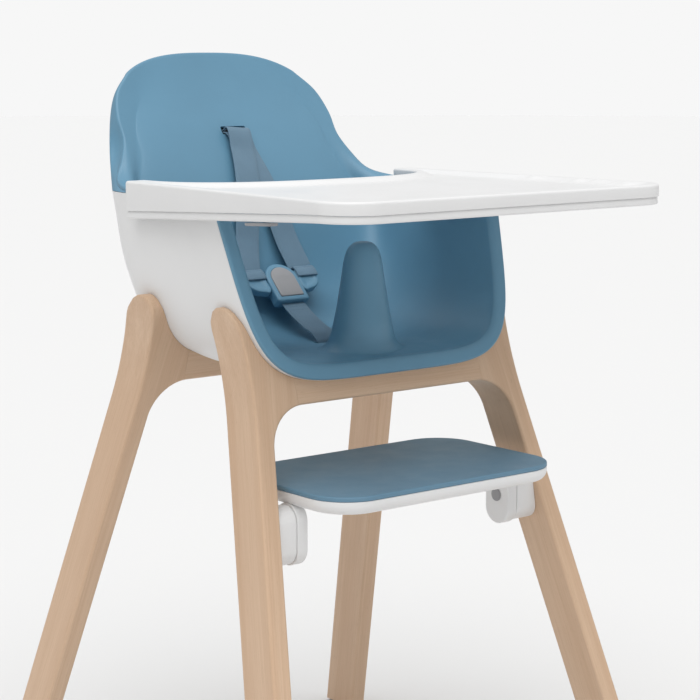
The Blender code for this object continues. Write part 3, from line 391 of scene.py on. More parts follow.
def shell_outer_grid(swell):
    """Outer surface of the white shell, pushed out by swell."""
    front = [front_rim(u) + FRONT_DEEP * (RIM_THICK + GAP) for u in np.linspace(-1, 1, NU + 1)]
    first = np.array(front)
    top = SEAM_Z - GAP
    spine_keys = [first[NU // 2], vec(0, first[NU // 2][1] + 0.026, SHELL_BOTTOM_Z + 0.001),
                  vec(0, -0.050, SHELL_BOTTOM_Z), vec(0, 0.070, SHELL_BOTTOM_Z + 0.002),
                  vec(0, 0.162, SHELL_BOTTOM_Z + 0.025), vec(0, SHELL_REAR_Y - 0.009, SHELL_BOTTOM_Z + 0.085),
                  vec(0, SHELL_REAR_Y, top)]
    spine = spline(spine_keys, np.linspace(0, 1, NV + 1))
    start_y = front_plane_y(SEAM_Z) + RIM_THICK + GAP
    rim = []
    for k in range(NV + 1):
        y = mix(start_y, CORNER_Y, k / NV)
        rim.append(vec(arm_half_width(y), y, top))
    powers = [mix(5.0, 4.0, smooth(k / NV / 0.8)) for k in range(NV + 1)]
    draft = [SIDE_DRAFT] * (NV + 1)
    last = np.array([seam_corner(1 - abs(u)) * np.array([math.copysign(1, u), 1, 1])
                     for u in np.linspace(-1, 1, NU + 1)])
    last[:, 2] = top
    first[:, 2] = np.minimum(first[:, 2], top)
    grid = sweep_sections(spine, rim, powers, draft, first, last, 0.14)
    return grid - grid_normals(grid) * swell


SHIFT = np.array([0.0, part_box("tray_top")[0].y - TRAY_FRONT_Y, -FLOOR_Z])   # the chair's place in the frame


# ---------------------------------------------------------------- meshes
def new_object(name, mesh):
    obj = bpy.data.objects.new(name, mesh)
    bpy.context.scene.collection.objects.link(obj)
    return obj


def full_turn(count):
    """Angles evenly round a full turn."""
    return np.linspace(0, 2 * math.pi, count, endpoint=False)


class Shape:
    """Points and faces gathered in the chair's own coordinates, with a material index per face."""

    def __init__(self):
        self.points = []
        self.faces = []
        self.looks = []
        self.look = 0

    def add(self, points, faces):
        start = len(self.points)
        self.points.extend(tuple(float(c) for c in p) for p in points)
        self.faces.extend([i + start for i in face] for face in faces)
        self.looks.extend([self.look] * len(faces))

    def rings(self, rings, cap_start=True, cap_end=True):
        """Skin closed rings of equal length, with a face over each end."""
        count = len(rings[0])
        faces = []
        for k in range(len(rings) - 1):
            for i in range(count):
                j = (i + 1) % count
                faces.append((k * count + i, k * count + j, (k + 1) * count + j, (k + 1) * count + i))
        last = (len(rings) - 1) * count
        if cap_start:
            faces.append(list(range(count))[::-1])
        if cap_end:
            faces.append([last + i for i in range(count)])
        self.add([p for ring in rings for p in ring], faces)

    def grid(self, grid):
        rows, cols = len(grid), len(grid[0])
        faces = [(k * cols + i, k * cols + i + 1, (k + 1) * cols + i + 1, (k + 1) * cols + i)
                 for k in range(rows - 1) for i in range(cols - 1)]
        self.add([p for row in grid for p in row], faces)


def to_object(name, shape, materials, crease=40.0):
    """A mesh object in the frame's coordinates, welded, faces out, smooth except at creases."""
    bm = bmesh.new()
    verts = [bm.verts.new(Vector(np.array(p) + SHIFT)) for p in shape.points]
    for face, look in zip(shape.faces, shape.looks):
        if len(set(face)) > 2:
            made = bm.faces.new([verts[i] for i in face])
            made.material_index = look
    bmesh.ops.remove_doubles(bm, verts=bm.verts, dist=2e-6)
    bmesh.ops.dissolve_degenerate(bm, edges=bm.edges, dist=1e-7)
    bmesh.ops.recalc_face_normals(bm, faces=bm.faces)
    mesh = bpy.data.meshes.new(name)
    bm.to_mesh(mesh)
    bm.free()
    mesh.shade_smooth()
    mesh.set_sharp_from_angle(angle=math.radians(crease))
    for mat in materials:
        mesh.materials.append(mat)
    return new_object(name, mesh)


def cut(obj, cutter, crease):
    """Take the cutter's solid out of the object and remove the cutter."""
    mod = obj.modifiers.new("cut", "BOOLEAN")
    mod.operation = "DIFFERENCE"
    mod.solver = "EXACT"
    mod.object = cutter
    bpy.context.view_layer.update()
    evaluated = obj.evaluated_get(bpy.context.evaluated_depsgraph_get())
    mesh = bpy.data.meshes.new_from_object(evaluated)
    obj.modifiers.clear()
    old = obj.data
    obj.data = mesh
    mesh.name = obj.name
    bpy.data.meshes.remove(old)
    bpy.data.objects.remove(cutter)
    mesh.shade_smooth()
    mesh.set_sharp_from_angle(angle=math.radians(crease))


def place(obj, body, slot, *nodes):
    """Ride on the body and stand for the CAD nodes."""
    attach(obj, body)
    if nodes:
        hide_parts(*nodes)
    return obj


def border(grid):
    """The grid's edge as one loop: front row, right side, last row back, left side."""
    front = [row for row in grid[0][:-1]]
    right = [row[-1] for row in grid[:-1]]
    last = [p for p in grid[-1][:0:-1]]
    left = [row[0] for row in grid[:0:-1]]
    return np.array(front + right + last + left)


def replace_border(grid, loop):
    """The same grid with its edge moved to the loop."""
    result = grid.copy()
    result[0, :] = loop[:NU + 1]
    result[:, -1] = loop[NU:NU + NV + 1]
    result[-1, :] = loop[NU + NV:2 * NU + NV + 1][::-1]
    left = np.vstack([loop[2 * NU + NV:], loop[:1]])
    result[:, 0] = left[::-1]
    return result


def arc(cx, cy, radius, start, end, steps):
    """Points on a circle, angles in degrees."""
    angles = np.radians(np.linspace(start, end, steps + 1))
    return [(cx + radius * math.cos(a), cy + radius * math.sin(a)) for a in angles]


def round_rectangle(half_x, low_y, high_y, radius, inset=0.0, steps=12):
    """Counter-clockwise outline with round corners, drawn in by inset."""
    hx, lo, hi = half_x - inset, low_y + inset, high_y - inset
    r = max(radius - inset, 0.0008)
    points = arc(hx - r, lo + r, r, -90, 0, steps)
    points += arc(hx - r, hi - r, r, 0, 90, steps)
    points += arc(-hx + r, hi - r, r, 90, 180, steps)
    points += arc(-hx + r, lo + r, r, 180, 270, steps)
    return points


def stadium(centre_y, centre_z, half_width, half_height, steps=24):
    """Upright outline with half-round ends, as (y, z)."""
    reach = half_height - half_width
    points = arc(centre_y, centre_z + reach, half_width, 0, 180, steps)
    points += arc(centre_y, centre_z - reach, half_width, 180, 360, steps)
    return points


def quarter(radius, steps=6):
    """A rounded edge as (inset, depth) pairs, from the top face's edge down to the side."""
    angles = np.radians(np.linspace(0, 90, steps + 1))
    return [(radius * (1 - math.sin(a)), radius * (1 - math.cos(a))) for a in angles]


def inset_outline(points, inset):
    """The outline drawn in by inset, square to itself."""
    pts = np.array(points)
    along = np.roll(pts, -1, axis=0) - np.roll(pts, 1, axis=0)
    normal = np.stack([-along[:, 1], along[:, 0]], axis=1)
    normal /= np.linalg.norm(normal, axis=1)[:, None]
    return pts + normal * inset


# ---------------------------------------------------------------- materials
class Nodes:
    """A small helper that writes a material's node tree."""

    def __init__(self, name):
        self.mat = bpy.data.materials.new(name)
        self.mat.use_nodes = True
        self.tree = self.mat.node_tree
        self.shader = self.tree.nodes["Principled BSDF"]

    def node(self, kind, inputs=None, **settings):
        made = self.tree.nodes.new(kind)
        for key, value in settings.items():
            setattr(made, key, value)
        for key, value in (inputs or {}).items():
            if isinstance(value, bpy.types.NodeSocket):
                self.tree.links.new(value, made.inputs[key])
            else:
                made.inputs[key].default_value = value
        return made

    def link(self, output, socket):
        self.tree.links.new(output, self.shader.inputs[socket])

    def coords(self):
        return self.node("ShaderNodeTexCoord").outputs["Object"]

    def attribute(self, name):
        return self.node("ShaderNodeAttribute", attribute_name=name).outputs["Vector"]

    def scaled(self, vector, scale):
        return self.node("ShaderNodeMapping", {"Vector": vector, "Scale": scale}).outputs["Vector"]

    def noise(self, vector, scale, detail=3.0, roughness=0.5):
        return self.node("ShaderNodeTexNoise", {"Vector": vector, "Scale": scale, "Detail": detail,
                                                "Roughness": roughness}).outputs["Fac"]

    def span(self, value, low, high, to_low, to_high):
        return self.node("ShaderNodeMapRange", {"Value": value, "From Min": low, "From Max": high,
                                                "To Min": to_low, "To Max": to_high}).outputs["Result"]

    def math(self, operation, a, b=0.0):
        return self.node("ShaderNodeMath", {0: a, 1: b}, operation=operation).outputs[0]

    def blend(self, factor, a, b, mode="MIX"):
        made = self.node("ShaderNodeMix", data_type="RGBA", blend_type=mode)
        for socket, value in (("Factor_Float", factor), ("A_Color", a), ("B_Color", b)):
            target = next(s for s in made.inputs if s.identifier == socket)
            if isinstance(value, bpy.types.NodeSocket):
                self.tree.links.new(value, target)
            else:
                target.default_value = value
        return next(s for s in made.outputs if s.identifier == "Result_Color")

    def bump(self, height, strength, distance, normal=None):
        inputs = {"Height": height, "Strength": strength, "Distance": distance}
        if normal is not None:
            inputs["Normal"] = normal
        return self.node("ShaderNodeBump", inputs).outputs["Normal"]


def wire(tree, links):
    """Join nodes, each link given as (node, output, node, input)."""
    for source, output, target, socket in links:
        tree.links.new(source.outputs[output], target.inputs[socket])


def tint(color, factor):
    return (*[min(c * factor, 1.0) for c in color], 1.0)


def plastic(name, color, roughness, grain=0.00006, mottle=0.03, specular=0.5):
    """Moulded plastic: a fine spark-eroded texture, faint flow marks and a little dust-grey variation."""
    n = Nodes(name)
    where = n.coords()
    cloud = n.noise(where, 9.0, 4.0)
    color_out = n.blend(n.span(cloud, 0.35, 0.65, 0.0, 1.0), tint(color, 1 - mottle), tint(color, 1 + mottle))
    n.link(color_out, "Base Color")
    handled = n.noise(where, 28.0, 5.0, 0.6)
    n.link(n.span(handled, 0.3, 0.7, roughness - 0.05, roughness + 0.06), "Roughness")
    pits = n.noise(where, 1500.0, 2.0)
    broad = n.noise(where, 60.0, 2.0)
    soft = n.bump(broad, 0.35, 0.00012)
    n.link(n.bump(pits, 0.55, grain, soft), "Normal")
    n.shader.inputs["Specular IOR Level"].default_value = specular
    n.shader.inputs["IOR"].default_value = 1.48
    return n.mat


def beech():
    """Light lacquered beech: long fibres, broad growth bands, short dark flecks."""
    n = Nodes("beech")
    grain = n.attribute("grain")
    warp = n.noise(n.scaled(grain, (3.0, 12.0, 12.0)), 1.0, 3.0)
    shift = n.node("ShaderNodeCombineXYZ", {"Y": n.math("MULTIPLY", warp, 0.006)}).outputs["Vector"]
    bent = n.node("ShaderNodeVectorMath", {0: grain, 1: shift}, operation="ADD").outputs["Vector"]
    bands = n.noise(n.scaled(bent, (1.4, 75.0, 40.0)), 1.0, 4.0, 0.55)
    fibres = n.noise(n.scaled(bent, (9.0, 620.0, 620.0)), 1.0, 4.0, 0.65)
    flecks = n.noise(n.scaled(bent, (95.0, 1500.0, 1500.0)), 1.0, 1.0)
    base = n.blend(n.span(bands, 0.32, 0.68, 0.0, 1.0), tint(WOOD_WARM, 1.0), tint(WOOD_PALE, 1.0))
    fine = n.blend(n.span(fibres, 0.35, 0.75, 0.0, 0.34), base, tint(WOOD_DARK, 1.0))
    full = n.blend(n.span(flecks, 0.66, 0.80, 0.0, 0.38), fine, tint(WOOD_DARK, 0.72))
    n.link(full, "Base Color")
    n.link(n.span(fibres, 0.3, 0.7, 0.42, 0.56), "Roughness")
    first = n.bump(fibres, 0.18, 0.00020)
    n.link(n.bump(flecks, 0.12, 0.00012, first), "Normal")
    n.shader.inputs["Coat Weight"].default_value = 0.12
    n.shader.inputs["Coat Roughness"].default_value = 0.38
    return n.mat


def webbing():
    """Woven polyester: ribs across the strap, offset yarns along it, a soft sheen."""
    n = Nodes("webbing")
    place_on = n.node("ShaderNodeSeparateXYZ", {0: n.attribute("strap")})
    along, across = place_on.outputs[0], place_on.outputs[1]
    ribs = n.math("SINE", n.math("MULTIPLY", along, 2 * math.pi / RIB_PITCH))
    row = n.math("MULTIPLY", n.math("ROUND", n.math("DIVIDE", along, RIB_PITCH)), math.pi)
    yarn = n.math("SINE", n.math("ADD", n.math("MULTIPLY", across, 2 * math.pi / YARN_PITCH), row))
    weave = n.math("ADD", n.math("MULTIPLY", ribs, 0.55), n.math("MULTIPLY", yarn, 0.45))
    fuzz = n.noise(n.coords(), 2600.0, 2.0)
    color = n.blend(n.span(weave, -1.0, 1.0, 0.0, 1.0), tint(STRAP_COLOR, 0.84), tint(STRAP_COLOR, 1.10))
    wear = n.noise(n.coords(), 45.0, 4.0)
    full = n.blend(n.span(wear, 0.35, 0.7, 0.0, 0.35), color, tint(STRAP_COLOR, 1.18))
    n.link(full, "Base Color")
    n.link(n.span(fuzz, 0.3, 0.7, 0.72, 0.88), "Roughness")
    first = n.bump(weave, 0.7, 0.00022)
    n.link(n.bump(fuzz, 0.3, 0.00008, first), "Normal")
    n.shader.inputs["Sheen Weight"].default_value = 0.18
    n.shader.inputs["Sheen Roughness"].default_value = 0.45
    return n.mat


def thread():
    """Twisted sewing thread."""
    n = Nodes("thread")
    twist = n.noise(n.coords(), 3800.0, 1.0)
    n.link(n.blend(twist, tint(THREAD_COLOR, 0.8), tint(THREAD_COLOR, 1.2)), "Base Color")
    n.link(n.bump(twist, 0.5, 0.0001), "Normal")
    n.shader.inputs["Roughness"].default_value = 0.7
    return n.mat


WOOD_PALE = (0.655, 0.470, 0.325)
WOOD_WARM = (0.590, 0.400, 0.262)
WOOD_DARK = (0.420, 0.262, 0.160)
BLUE = (0.115, 0.265, 0.385)
PAD_BLUE = (0.120, 0.235, 0.330)
WHITE = (0.76, 0.76, 0.76)
GREY = (0.30, 0.30, 0.31)
STRAP_COLOR = (0.130, 0.225, 0.310)
THREAD_COLOR = (0.10, 0.19, 0.27)
RIB_PITCH = 0.0013            # webbing: from one rib to the next along the strap
YARN_PITCH = 0.0011           # and from one yarn to the next across it

BLUE_LOOK = plastic("blue_plastic", BLUE, 0.40, 0.00005)
PAD_LOOK = plastic("footrest_pad_plastic", PAD_BLUE, 0.52, 0.00010)
WHITE_LOOK = plastic("white_plastic", WHITE, 0.42, 0.00004, 0.012)
GREY_LOOK = plastic("grey_plastic", GREY, 0.48, 0.00008)
BEECH_LOOK = beech()
WEB_LOOK = webbing()
THREAD_LOOK = thread()


# ---------------------------------------------------------------- seat
ROLL = 0.0100                 # how softly the rim rolls into the seat
ROLL_COLUMNS = 14             # how many columns of the seat's surface the roll takes in
ROLL_TIMES = 400              # how often the roll is evened out
SEAM_EDGE = 0.0009            # small round on the edges along the seam


def seam_inward(i, loop, inward):
    """Direction through the skirt's thickness, level wherever the skirt hangs down to the seam."""
    if loop[i][1] > CORNER_Y:
        return unit(vec(-loop[i][0], CORNER_Y - loop[i][1], 0))
    return inward[i]


def soften(shape, weights, times):
    """Even out the shape's points, each by its own weight from 0 (stays) to 1."""
    points = np.array(shape.points)
    _, first, same = np.unique(np.round(points, 6), axis=0, return_index=True, return_inverse=True)
    same = same.ravel()
    edges = {tuple(sorted((same[a], same[b])))
             for face in shape.faces for a, b in zip(face, face[1:] + face[:1])}
    a, b = np.array([e for e in edges if e[0] != e[1]]).T
    share = np.zeros(len(first))
    np.maximum.at(share, same, weights)
    degree = np.bincount(np.r_[a, b], minlength=len(first))[:, None]
    place_at = points[first]
    for _ in range(times):
        total = np.stack([np.bincount(np.r_[a, b], np.r_[place_at[b, c], place_at[a, c]], len(first))
                          for c in range(3)], axis=1)
        place_at = place_at + (total / degree - place_at) * share[:, None] * 0.9
    shape.points = [tuple(p) for p in place_at[same]]


def roll_weights(rows_of_rim):
    """Where the rim flows into the seat: everywhere but along the crisp front rim."""
    def away_from_front(k):
        return smooth((k / NV - 0.20) / 0.16)

    grid = [[away_from_front(k) * smooth(1 - min(i, NU - i, NV - k) / ROLL_COLUMNS) for i in range(NU + 1)]
            for k in range(NV + 1)]
    flat = [w for row in grid for w in row]
    side = [away_from_front(k) for k in range(NV)]
    loop = [0.0] * NU + side + [1.0] * NU + side[:0:-1] + [0.0]
    return np.array(flat + loop * rows_of_rim)


def make_seat(surfaces):
    loop, deep, offset, inner = surfaces
    skirt = skirt_loop(loop, deep)
    round_edge = offset(0.0, RIM_ROUND)
    drop = (round_edge - skirt)[:, 2:3]
    bulge = round_edge + deep * np.clip(drop * 0.5, 0, BACK_BULGE)
    ts = np.linspace(0, 1, 22)[1:]
    rear = [(1 - t) ** 2 * round_edge + 2 * t * (1 - t) * bulge + t * t * skirt for t in ts]
    inward = offset(1.0, 0.0) - loop
    tuck = np.array([seam_inward(i, loop, inward) for i in range(len(loop))])
    soft_bottom = skirt + tuck * SEAM_EDGE
    above = rear[-2] - skirt
    rear[-1] = skirt + above * min(1.0, SEAM_EDGE / np.linalg.norm(above, axis=1).max())
    top = [offset(RIM_WIDTH - ROLL * (1 - math.cos(a)), RIM_THICK * (1 - math.sin(a)))
           for a in np.radians(np.linspace(0, 90, 11))]
    edge = [offset(inset, depth) for inset, depth in quarter(RIM_ROUND, 5)]
    shape = Shape()
    shape.grid(inner)
    lower_edge = skirt + tuck * SKIRT_WALL
    shape.rings([border(inner)] + top[1:] + edge + rear + [soft_bottom, lower_edge], False, False)
    weights = roll_weights(len(top))
    soften(shape, np.r_[weights, np.zeros(len(shape.points) - len(weights))], ROLL_TIMES)
    outside = inner + grid_normals(inner) * -SEAT_WALL
    outside_edge = offset(RIM_WIDTH - SEAT_WALL, RIM_THICK + 0.0030)
    outside = replace_border(outside, outside_edge)
    hidden = [p + tuck * SKIRT_WALL for p in rear[::-4]]
    under = offset(SKIRT_WALL + 0.001, RIM_THICK)
    shape.rings([lower_edge] + hidden + [under, outside_edge], False, False)
    shape.grid(outside)
    seat = to_object("seat_moulding", shape, [BLUE_LOOK], 50)
    cut_slots(seat, surfaces)
    return place(seat, "chassis", "blue_plastic", "seat_shell")


def slot_solid(half_x, half_y, half_z, corner):
    """A slot cutter: a round-cornered bar across X, deep along Y."""
    shape = Shape()
    outline = round_rectangle(half_x, -half_z, half_z, corner, 0.0, 8)
    shape.rings([[(x, y, z) for x, z in outline] for y in (-half_y, half_y)])
    return shape


def cut_slots(seat, surfaces):
    tree = surface_tree(surfaces[3])
    root, out = on_back(tree, 0, SLOT_Z)
    tilt = Matrix.Rotation(-math.atan2(out[2], -out[1]), 3, "X")
    shape = slot_solid(SLOT_HALF_WIDTH, 0.010, SLOT_HALF_HEIGHT, 0.0022)
    shape.points = [tuple(tilt @ Vector(p) + Vector(root)) for p in shape.points]
    cut(seat, to_object("slot", shape, []), crease=50)
    floor, _ = on_floor(tree, 0, CROTCH_SLOT_Y)
    shape = slot_solid(STRAP_WIDTH / 2 + 0.0025, 0.0050, 0.012, 0.003)
    shape.points = [(x, y + CROTCH_SLOT_Y + 0.0015, z + floor[2]) for x, y, z in shape.points]
    cut(seat, to_object("slot", shape, []), crease=50)


def surface_tree(grid):
    shape = Shape()
    shape.grid(grid)
    return BVHTree.FromPolygons(shape.points, shape.faces)


def on_back(tree, x, z):
    """The seat back's surface point and its outward direction at (x, z)."""
    found, normal, _, _ = tree.ray_cast(Vector((x + RAY_NUDGE, -0.02, z)), Vector((0, 1, 0)))
    n = np.array(normal)
    return np.array(found), n if n[1] < 0 else -n


def on_floor(tree, x, y):
    found, normal, _, _ = tree.ray_cast(Vector((x + RAY_NUDGE, y, 0.70)), Vector((0, 0, -1)))
    n = np.array(normal)
    return np.array(found), n if n[2] > 0 else -n


# crotch post: (share of its height, reach over POST_RADIUS)
POST_PROFILE = [(0.0, 2.62), (0.008, 2.44), (0.028, 2.22), (0.06, 2.03), (0.14, 1.81), (0.28, 1.60),
                (0.50, 1.36), (0.70, 1.18), (0.84, 1.04), (0.93, 0.84), (0.98, 0.55), (1.0, 0.0)]
POST_DEPTH = 0.85             # the post's depth over its width
POST_FRONT_FLARE = 0.70       # the flare is shorter towards the front rim


def make_post(surfaces):
    """Crotch post, which flares out until it lies on the seat's floor."""
    tree = surface_tree(surfaces[3])
    tall = POST_TOP_Z - SEAT_FLOOR_Z
    flare_top = POST_PROFILE[5][0] * tall
    curve = spline([(g * POST_RADIUS, h * tall) for h, g in POST_PROFILE], np.linspace(0, 1, 70))
    shape = Shape()
    rings = []
    for r, rise in curve:
        r = max(r, 0.00002)
        low = smooth(1 - rise / flare_top)
        ring = []
        for a in full_turn(96):
            reach = POST_DEPTH if math.sin(a) > 0 else mix(POST_DEPTH, POST_FRONT_FLARE, low)
            x, y = r * math.cos(a), POST_Y + reach * r * math.sin(a)
            floor = on_floor(tree, x, y)[0][2] if low > 0 else SEAT_FLOOR_Z
            ring.append((x, y, mix(SEAT_FLOOR_Z, floor, low) + rise - 0.0004 * low))
        rings.append(ring)
    shape.rings(rings, False, False)
    post = to_object("crotch_post", shape, [BLUE_LOOK], 80)
    return place(post, "chassis", "blue_plastic")


def shell_inner_edge(edge):
    """The shell's edge loop moved in by the wall: across the rim in front, level along the seam."""
    front = edge[:NU + 1]
    along = np.gradient(front, axis=0)
    across = np.cross(along, FRONT_DEEP)
    across /= np.linalg.norm(across, axis=1)[:, None]
    rest = edge[NU + 1:]
    level = np.array([unit(vec(-p[0], min(CORNER_Y - p[1], 0), 0)) for p in rest])
    return np.vstack([front + across * SHELL_WALL, rest + level * SHELL_WALL])


def make_shell():
    outer = shell_outer_grid(0.0)
    edge = border(outer)
    inner_edge = shell_inner_edge(edge)
    step = (inner_edge - edge) / SHELL_WALL
    down = np.array([FRONT_DEEP if i <= NU else ARM_DEEP for i in range(len(edge))])
    inner = replace_border(shell_outer_grid(-SHELL_WALL), inner_edge)
    lowered = replace_border(outer, edge + down * SEAM_EDGE)
    shape = Shape()
    shape.grid(lowered)
    round_over = [edge + step * inset + down * depth for inset, depth in quarter(SEAM_EDGE, 4)[::-1]]
    shape.rings(round_over + [inner_edge], False, False)
    shape.grid(inner)
    shell = to_object("seat_outer_moulding", shape, [WHITE_LOOK], 50)
    return place(shell, "chassis", "white_plastic", "outer_shell")


# ---------------------------------------------------------------- wooden frames
LEG_TOP_ROUND = 0.0035        # round on the edge over a leg's top


def leg_centre_x(z):
    return STANCE_X + SPLAY * (KNEE_Z - z)


def leg_outer_x(z):
    """Outer face of a leg: straight, then curving up beside the seat."""
    straight = leg_centre_x(z) + LEG_WIDTH / 2
    rise = max(z - LEG_BEND_Z, 0) / (LEG_TOP_Z - LEG_BEND_Z)
    return straight + rise ** 2 * (LEG_TOP_X - leg_centre_x(LEG_TOP_Z) - LEG_WIDTH / 2)


def rolled(distance, radius):
    """How far a face drops away at this distance inside a rounded edge."""
    short = max(radius - distance, 0.0)
    return radius - math.sqrt(max(radius ** 2 - short ** 2, 0.0))


def board_ring(t):
    """Half of the frame's outline at depth t, from the middle of the bar round to the middle again."""
    foot = FLOOR_Z + GLIDE_HEIGHT + GAP
    turn = math.atan(SPLAY)
    half = LEG_DEPTH / 2
    e = rolled(half - abs(t), LEG_EDGE)
    arch_z = BAR_LOW_Z - ARCH_RADIUS
    arch_x = leg_centre_x(arch_z) - LEG_WIDTH / 2 - ARCH_RADIUS / math.cos(turn)
    points = arc(arch_x, arch_z, ARCH_RADIUS + e, 90, math.degrees(turn), 40)
    low_end = points[-1]
    inner_foot = (leg_centre_x(foot) - LEG_WIDTH / 2 + e / math.cos(turn), foot)
    points += [tuple(mix(np.array(low_end), np.array(inner_foot), s)) for s in np.linspace(0, 1, 13)[1:]]
    centre_z = LEG_TOP_Z - half
    top_z = centre_z + math.sqrt(max(half ** 2 - t ** 2, 0.0))
    heights = list(np.linspace(foot, LEG_BEND_Z, 14)) + list(np.linspace(LEG_BEND_Z, centre_z, 16)[1:])
    heights += [mix(centre_z, top_z, math.sin(s)) for s in np.linspace(0, math.pi / 2, 16)[1:]]
    for z in heights:
        inside = half - math.hypot(t, max(z - centre_z, 0.0))
        lift = smooth((z - centre_z + 0.02) / 0.02)
        radius = mix(LEG_EDGE, LEG_TOP_ROUND, lift)
        points.append((leg_outer_x(z) - rolled(inside, radius) / math.cos(turn), z))
    cradle_x = LEG_TOP_X - LEG_WIDTH
    points += [(cradle_x, top_z), (cradle_x - 0.020, top_z - 0.030), (0.120, SHELL_BOTTOM_Z + 0.040)]
    return points


def depth_y(side, z):
    return side * (STANCE_Y + RAKE * (KNEE_Z - z))


def frame_solid(side):
    half = LEG_DEPTH / 2
    round_ts = [half - LEG_EDGE * (1 - math.sin(a)) for a in np.radians(np.linspace(0, 90, 9))]
    ts = [-t for t in round_ts[::-1]] + list(np.linspace(-round_ts[0], round_ts[0], 7)[1:-1]) + round_ts
    rings = []
    for t in ts:
        outline = board_ring(t)
        outline = outline + [(-x, z) for x, z in outline[::-1]]
        rings.append([(x, t + depth_y(side, z), z) for x, z in outline])
    shape = Shape()
    shape.rings(rings)
    return shape


def keep_side(obj, x, direction):
    """Cut the mesh at a plane across X and keep what lies against the direction."""
    bm = bmesh.new()
    bm.from_mesh(obj.data)
    geom = bm.verts[:] + bm.edges[:] + bm.faces[:]
    found = bmesh.ops.bisect_plane(bm, geom=geom, dist=1e-7, plane_co=(x, 0, 0), plane_no=(direction, 0, 0),
                                   clear_outer=True)
    edges = [e for e in found["geom_cut"] if isinstance(e, bmesh.types.BMEdge)]
    bmesh.ops.holes_fill(bm, edges=edges, sides=0)
    bm.to_mesh(obj.data)
    bm.free()


def shell_envelope():
    """The space that the white shell fills, with its gap: it shapes the wooden cradle."""
    outer = shell_outer_grid(GAP)
    shape = Shape()
    shape.grid(outer)
    rim = border(outer)
    apex = (0, 0, BACK_TOP_Z + 0.20)
    count = len(rim)
    shape.add(list(rim) + [apex], [(i, (i + 1) % count, count) for i in range(count)])
    return to_object("envelope", shape, [])


def store_grain(obj, side, seed, across_board):
    """Wood coordinates for each point: along the grain, across it, and through the board."""
    data = obj.data.attributes.new("grain", "FLOAT_VECTOR", "POINT")
    values = []
    for v in obj.data.vertices:
        x, y, z = np.array(v.co) - SHIFT
        depth = y - depth_y(side, z)
        hand = math.copysign(1, x)
        if across_board:
            values += [x, z, depth + seed]
        else:
            values += [z, x - hand * leg_centre_x(z), depth + seed]
    data.data.foreach_set("vector", values)


BOARD_END = BAR_JOINT_X + GAP / 4     # where a leg starts beyond the glue line
BAR_END = BAR_JOINT_X - GAP / 4       # where the crossbar stops
FRAME_PARTS = (("right_leg", [(-BOARD_END, 1)]), ("left_leg", [(BOARD_END, -1)]),
               ("crossbar", [(BAR_END, 1), (-BAR_END, -1)]))


def make_frames():
    for name, side in (("front", -1), ("rear", 1)):
        whole = frame_solid(side)
        base = to_object("board", whole, [BEECH_LOOK])
        cut(base, shell_envelope(), crease=38)
        for k, (part, keep) in enumerate(FRAME_PARTS):
            piece = new_object(name + "_" + part + "_beech", base.data.copy())
            for x, direction in keep:
                keep_side(piece, x, direction)
            piece.data.set_sharp_from_angle(angle=math.radians(38))
            store_grain(piece, side, 0.37 * k + 1.3 * side, part == "crossbar")
            place(piece, "chassis", "beech", name + "_" + part)
        bpy.data.objects.remove(base)


def make_glides():
    for front, side in (("front", -1), ("rear", 1)):
        for hand, sign in (("left", 1), ("right", -1)):
            x, y = sign * leg_centre_x(FLOOR_Z), side * (STANCE_Y + RAKE * (KNEE_Z - FLOOR_Z))
            levels = [(depth, 0.003 + inset) for inset, depth in quarter(0.0015, 5)] + [(GLIDE_HEIGHT, 0.003)]
            shape = Shape()
            shape.rings([[(x + p, y + q, FLOOR_Z + z) for p, q in
                          round_rectangle(LEG_WIDTH / 2, -LEG_DEPTH / 2, LEG_DEPTH / 2, 0.009, inset, 10)]
                         for z, inset in levels])
            glide = to_object(front + "_" + hand + "_foot_glide", shape, [GREY_LOOK])
            place(glide, "chassis", "grey_plastic", front + "_" + hand + "_glide")


# ---------------------------------------------------------------- tray
def tray_outline():
    """The tray from above, counter-clockwise, as (x, y), and how many points of each half are outside."""
    side_y = TRAY_FRONT_Y + TRAY_CORNER
    end_x = TRAY_END_X
    points = [(s, TRAY_FRONT_Y) for s in np.linspace(0, TRAY_HALF_WIDTH - TRAY_CORNER, 12)[:-1]]
    points += arc(TRAY_HALF_WIDTH - TRAY_CORNER, side_y, TRAY_CORNER, -90, -4, 26)
    points += [(mix(TRAY_HALF_WIDTH, end_x, t ** 0.9), mix(side_y, TRAY_ARM_END_Y - 0.004, t))
               for t in np.linspace(0.03, 0.985, 32)]
    points += arc(end_x - 0.004, TRAY_ARM_END_Y - 0.004, 0.004, 0, 90, 8)
    outer = len(points)
    inner = TRAY_ARM_INNER_X
    points += arc(inner + 0.006, TRAY_ARM_END_Y - 0.006, 0.006, 90, 165, 8)
    for t in np.linspace(0.09, 0.985, 40):
        angle = t * math.pi / 2
        reach = (math.cos(angle) ** 2.6 + math.sin(angle) ** 2.6) ** (-1 / 2.6)
        points.append((inner * reach * math.cos(angle),
                       TRAY_ARM_END_Y - (TRAY_ARM_END_Y - TRAY_BELLY_Y) * reach * math.sin(angle)))
    whole = points + [(0.0, TRAY_BELLY_Y)] + [(-x, y) for x, y in points[:0:-1]]
    return whole, outer


def band_z(y):
    """Lower edge of the tray's outer band, which drops towards the arms' ends."""
    t = (y - TRAY_FRONT_Y - TRAY_CORNER) / (TRAY_ARM_END_Y - TRAY_FRONT_Y - TRAY_CORNER)
    return mix(BAND_FRONT_Z, BAND_REAR_Z, min(max(t, 0), 1))


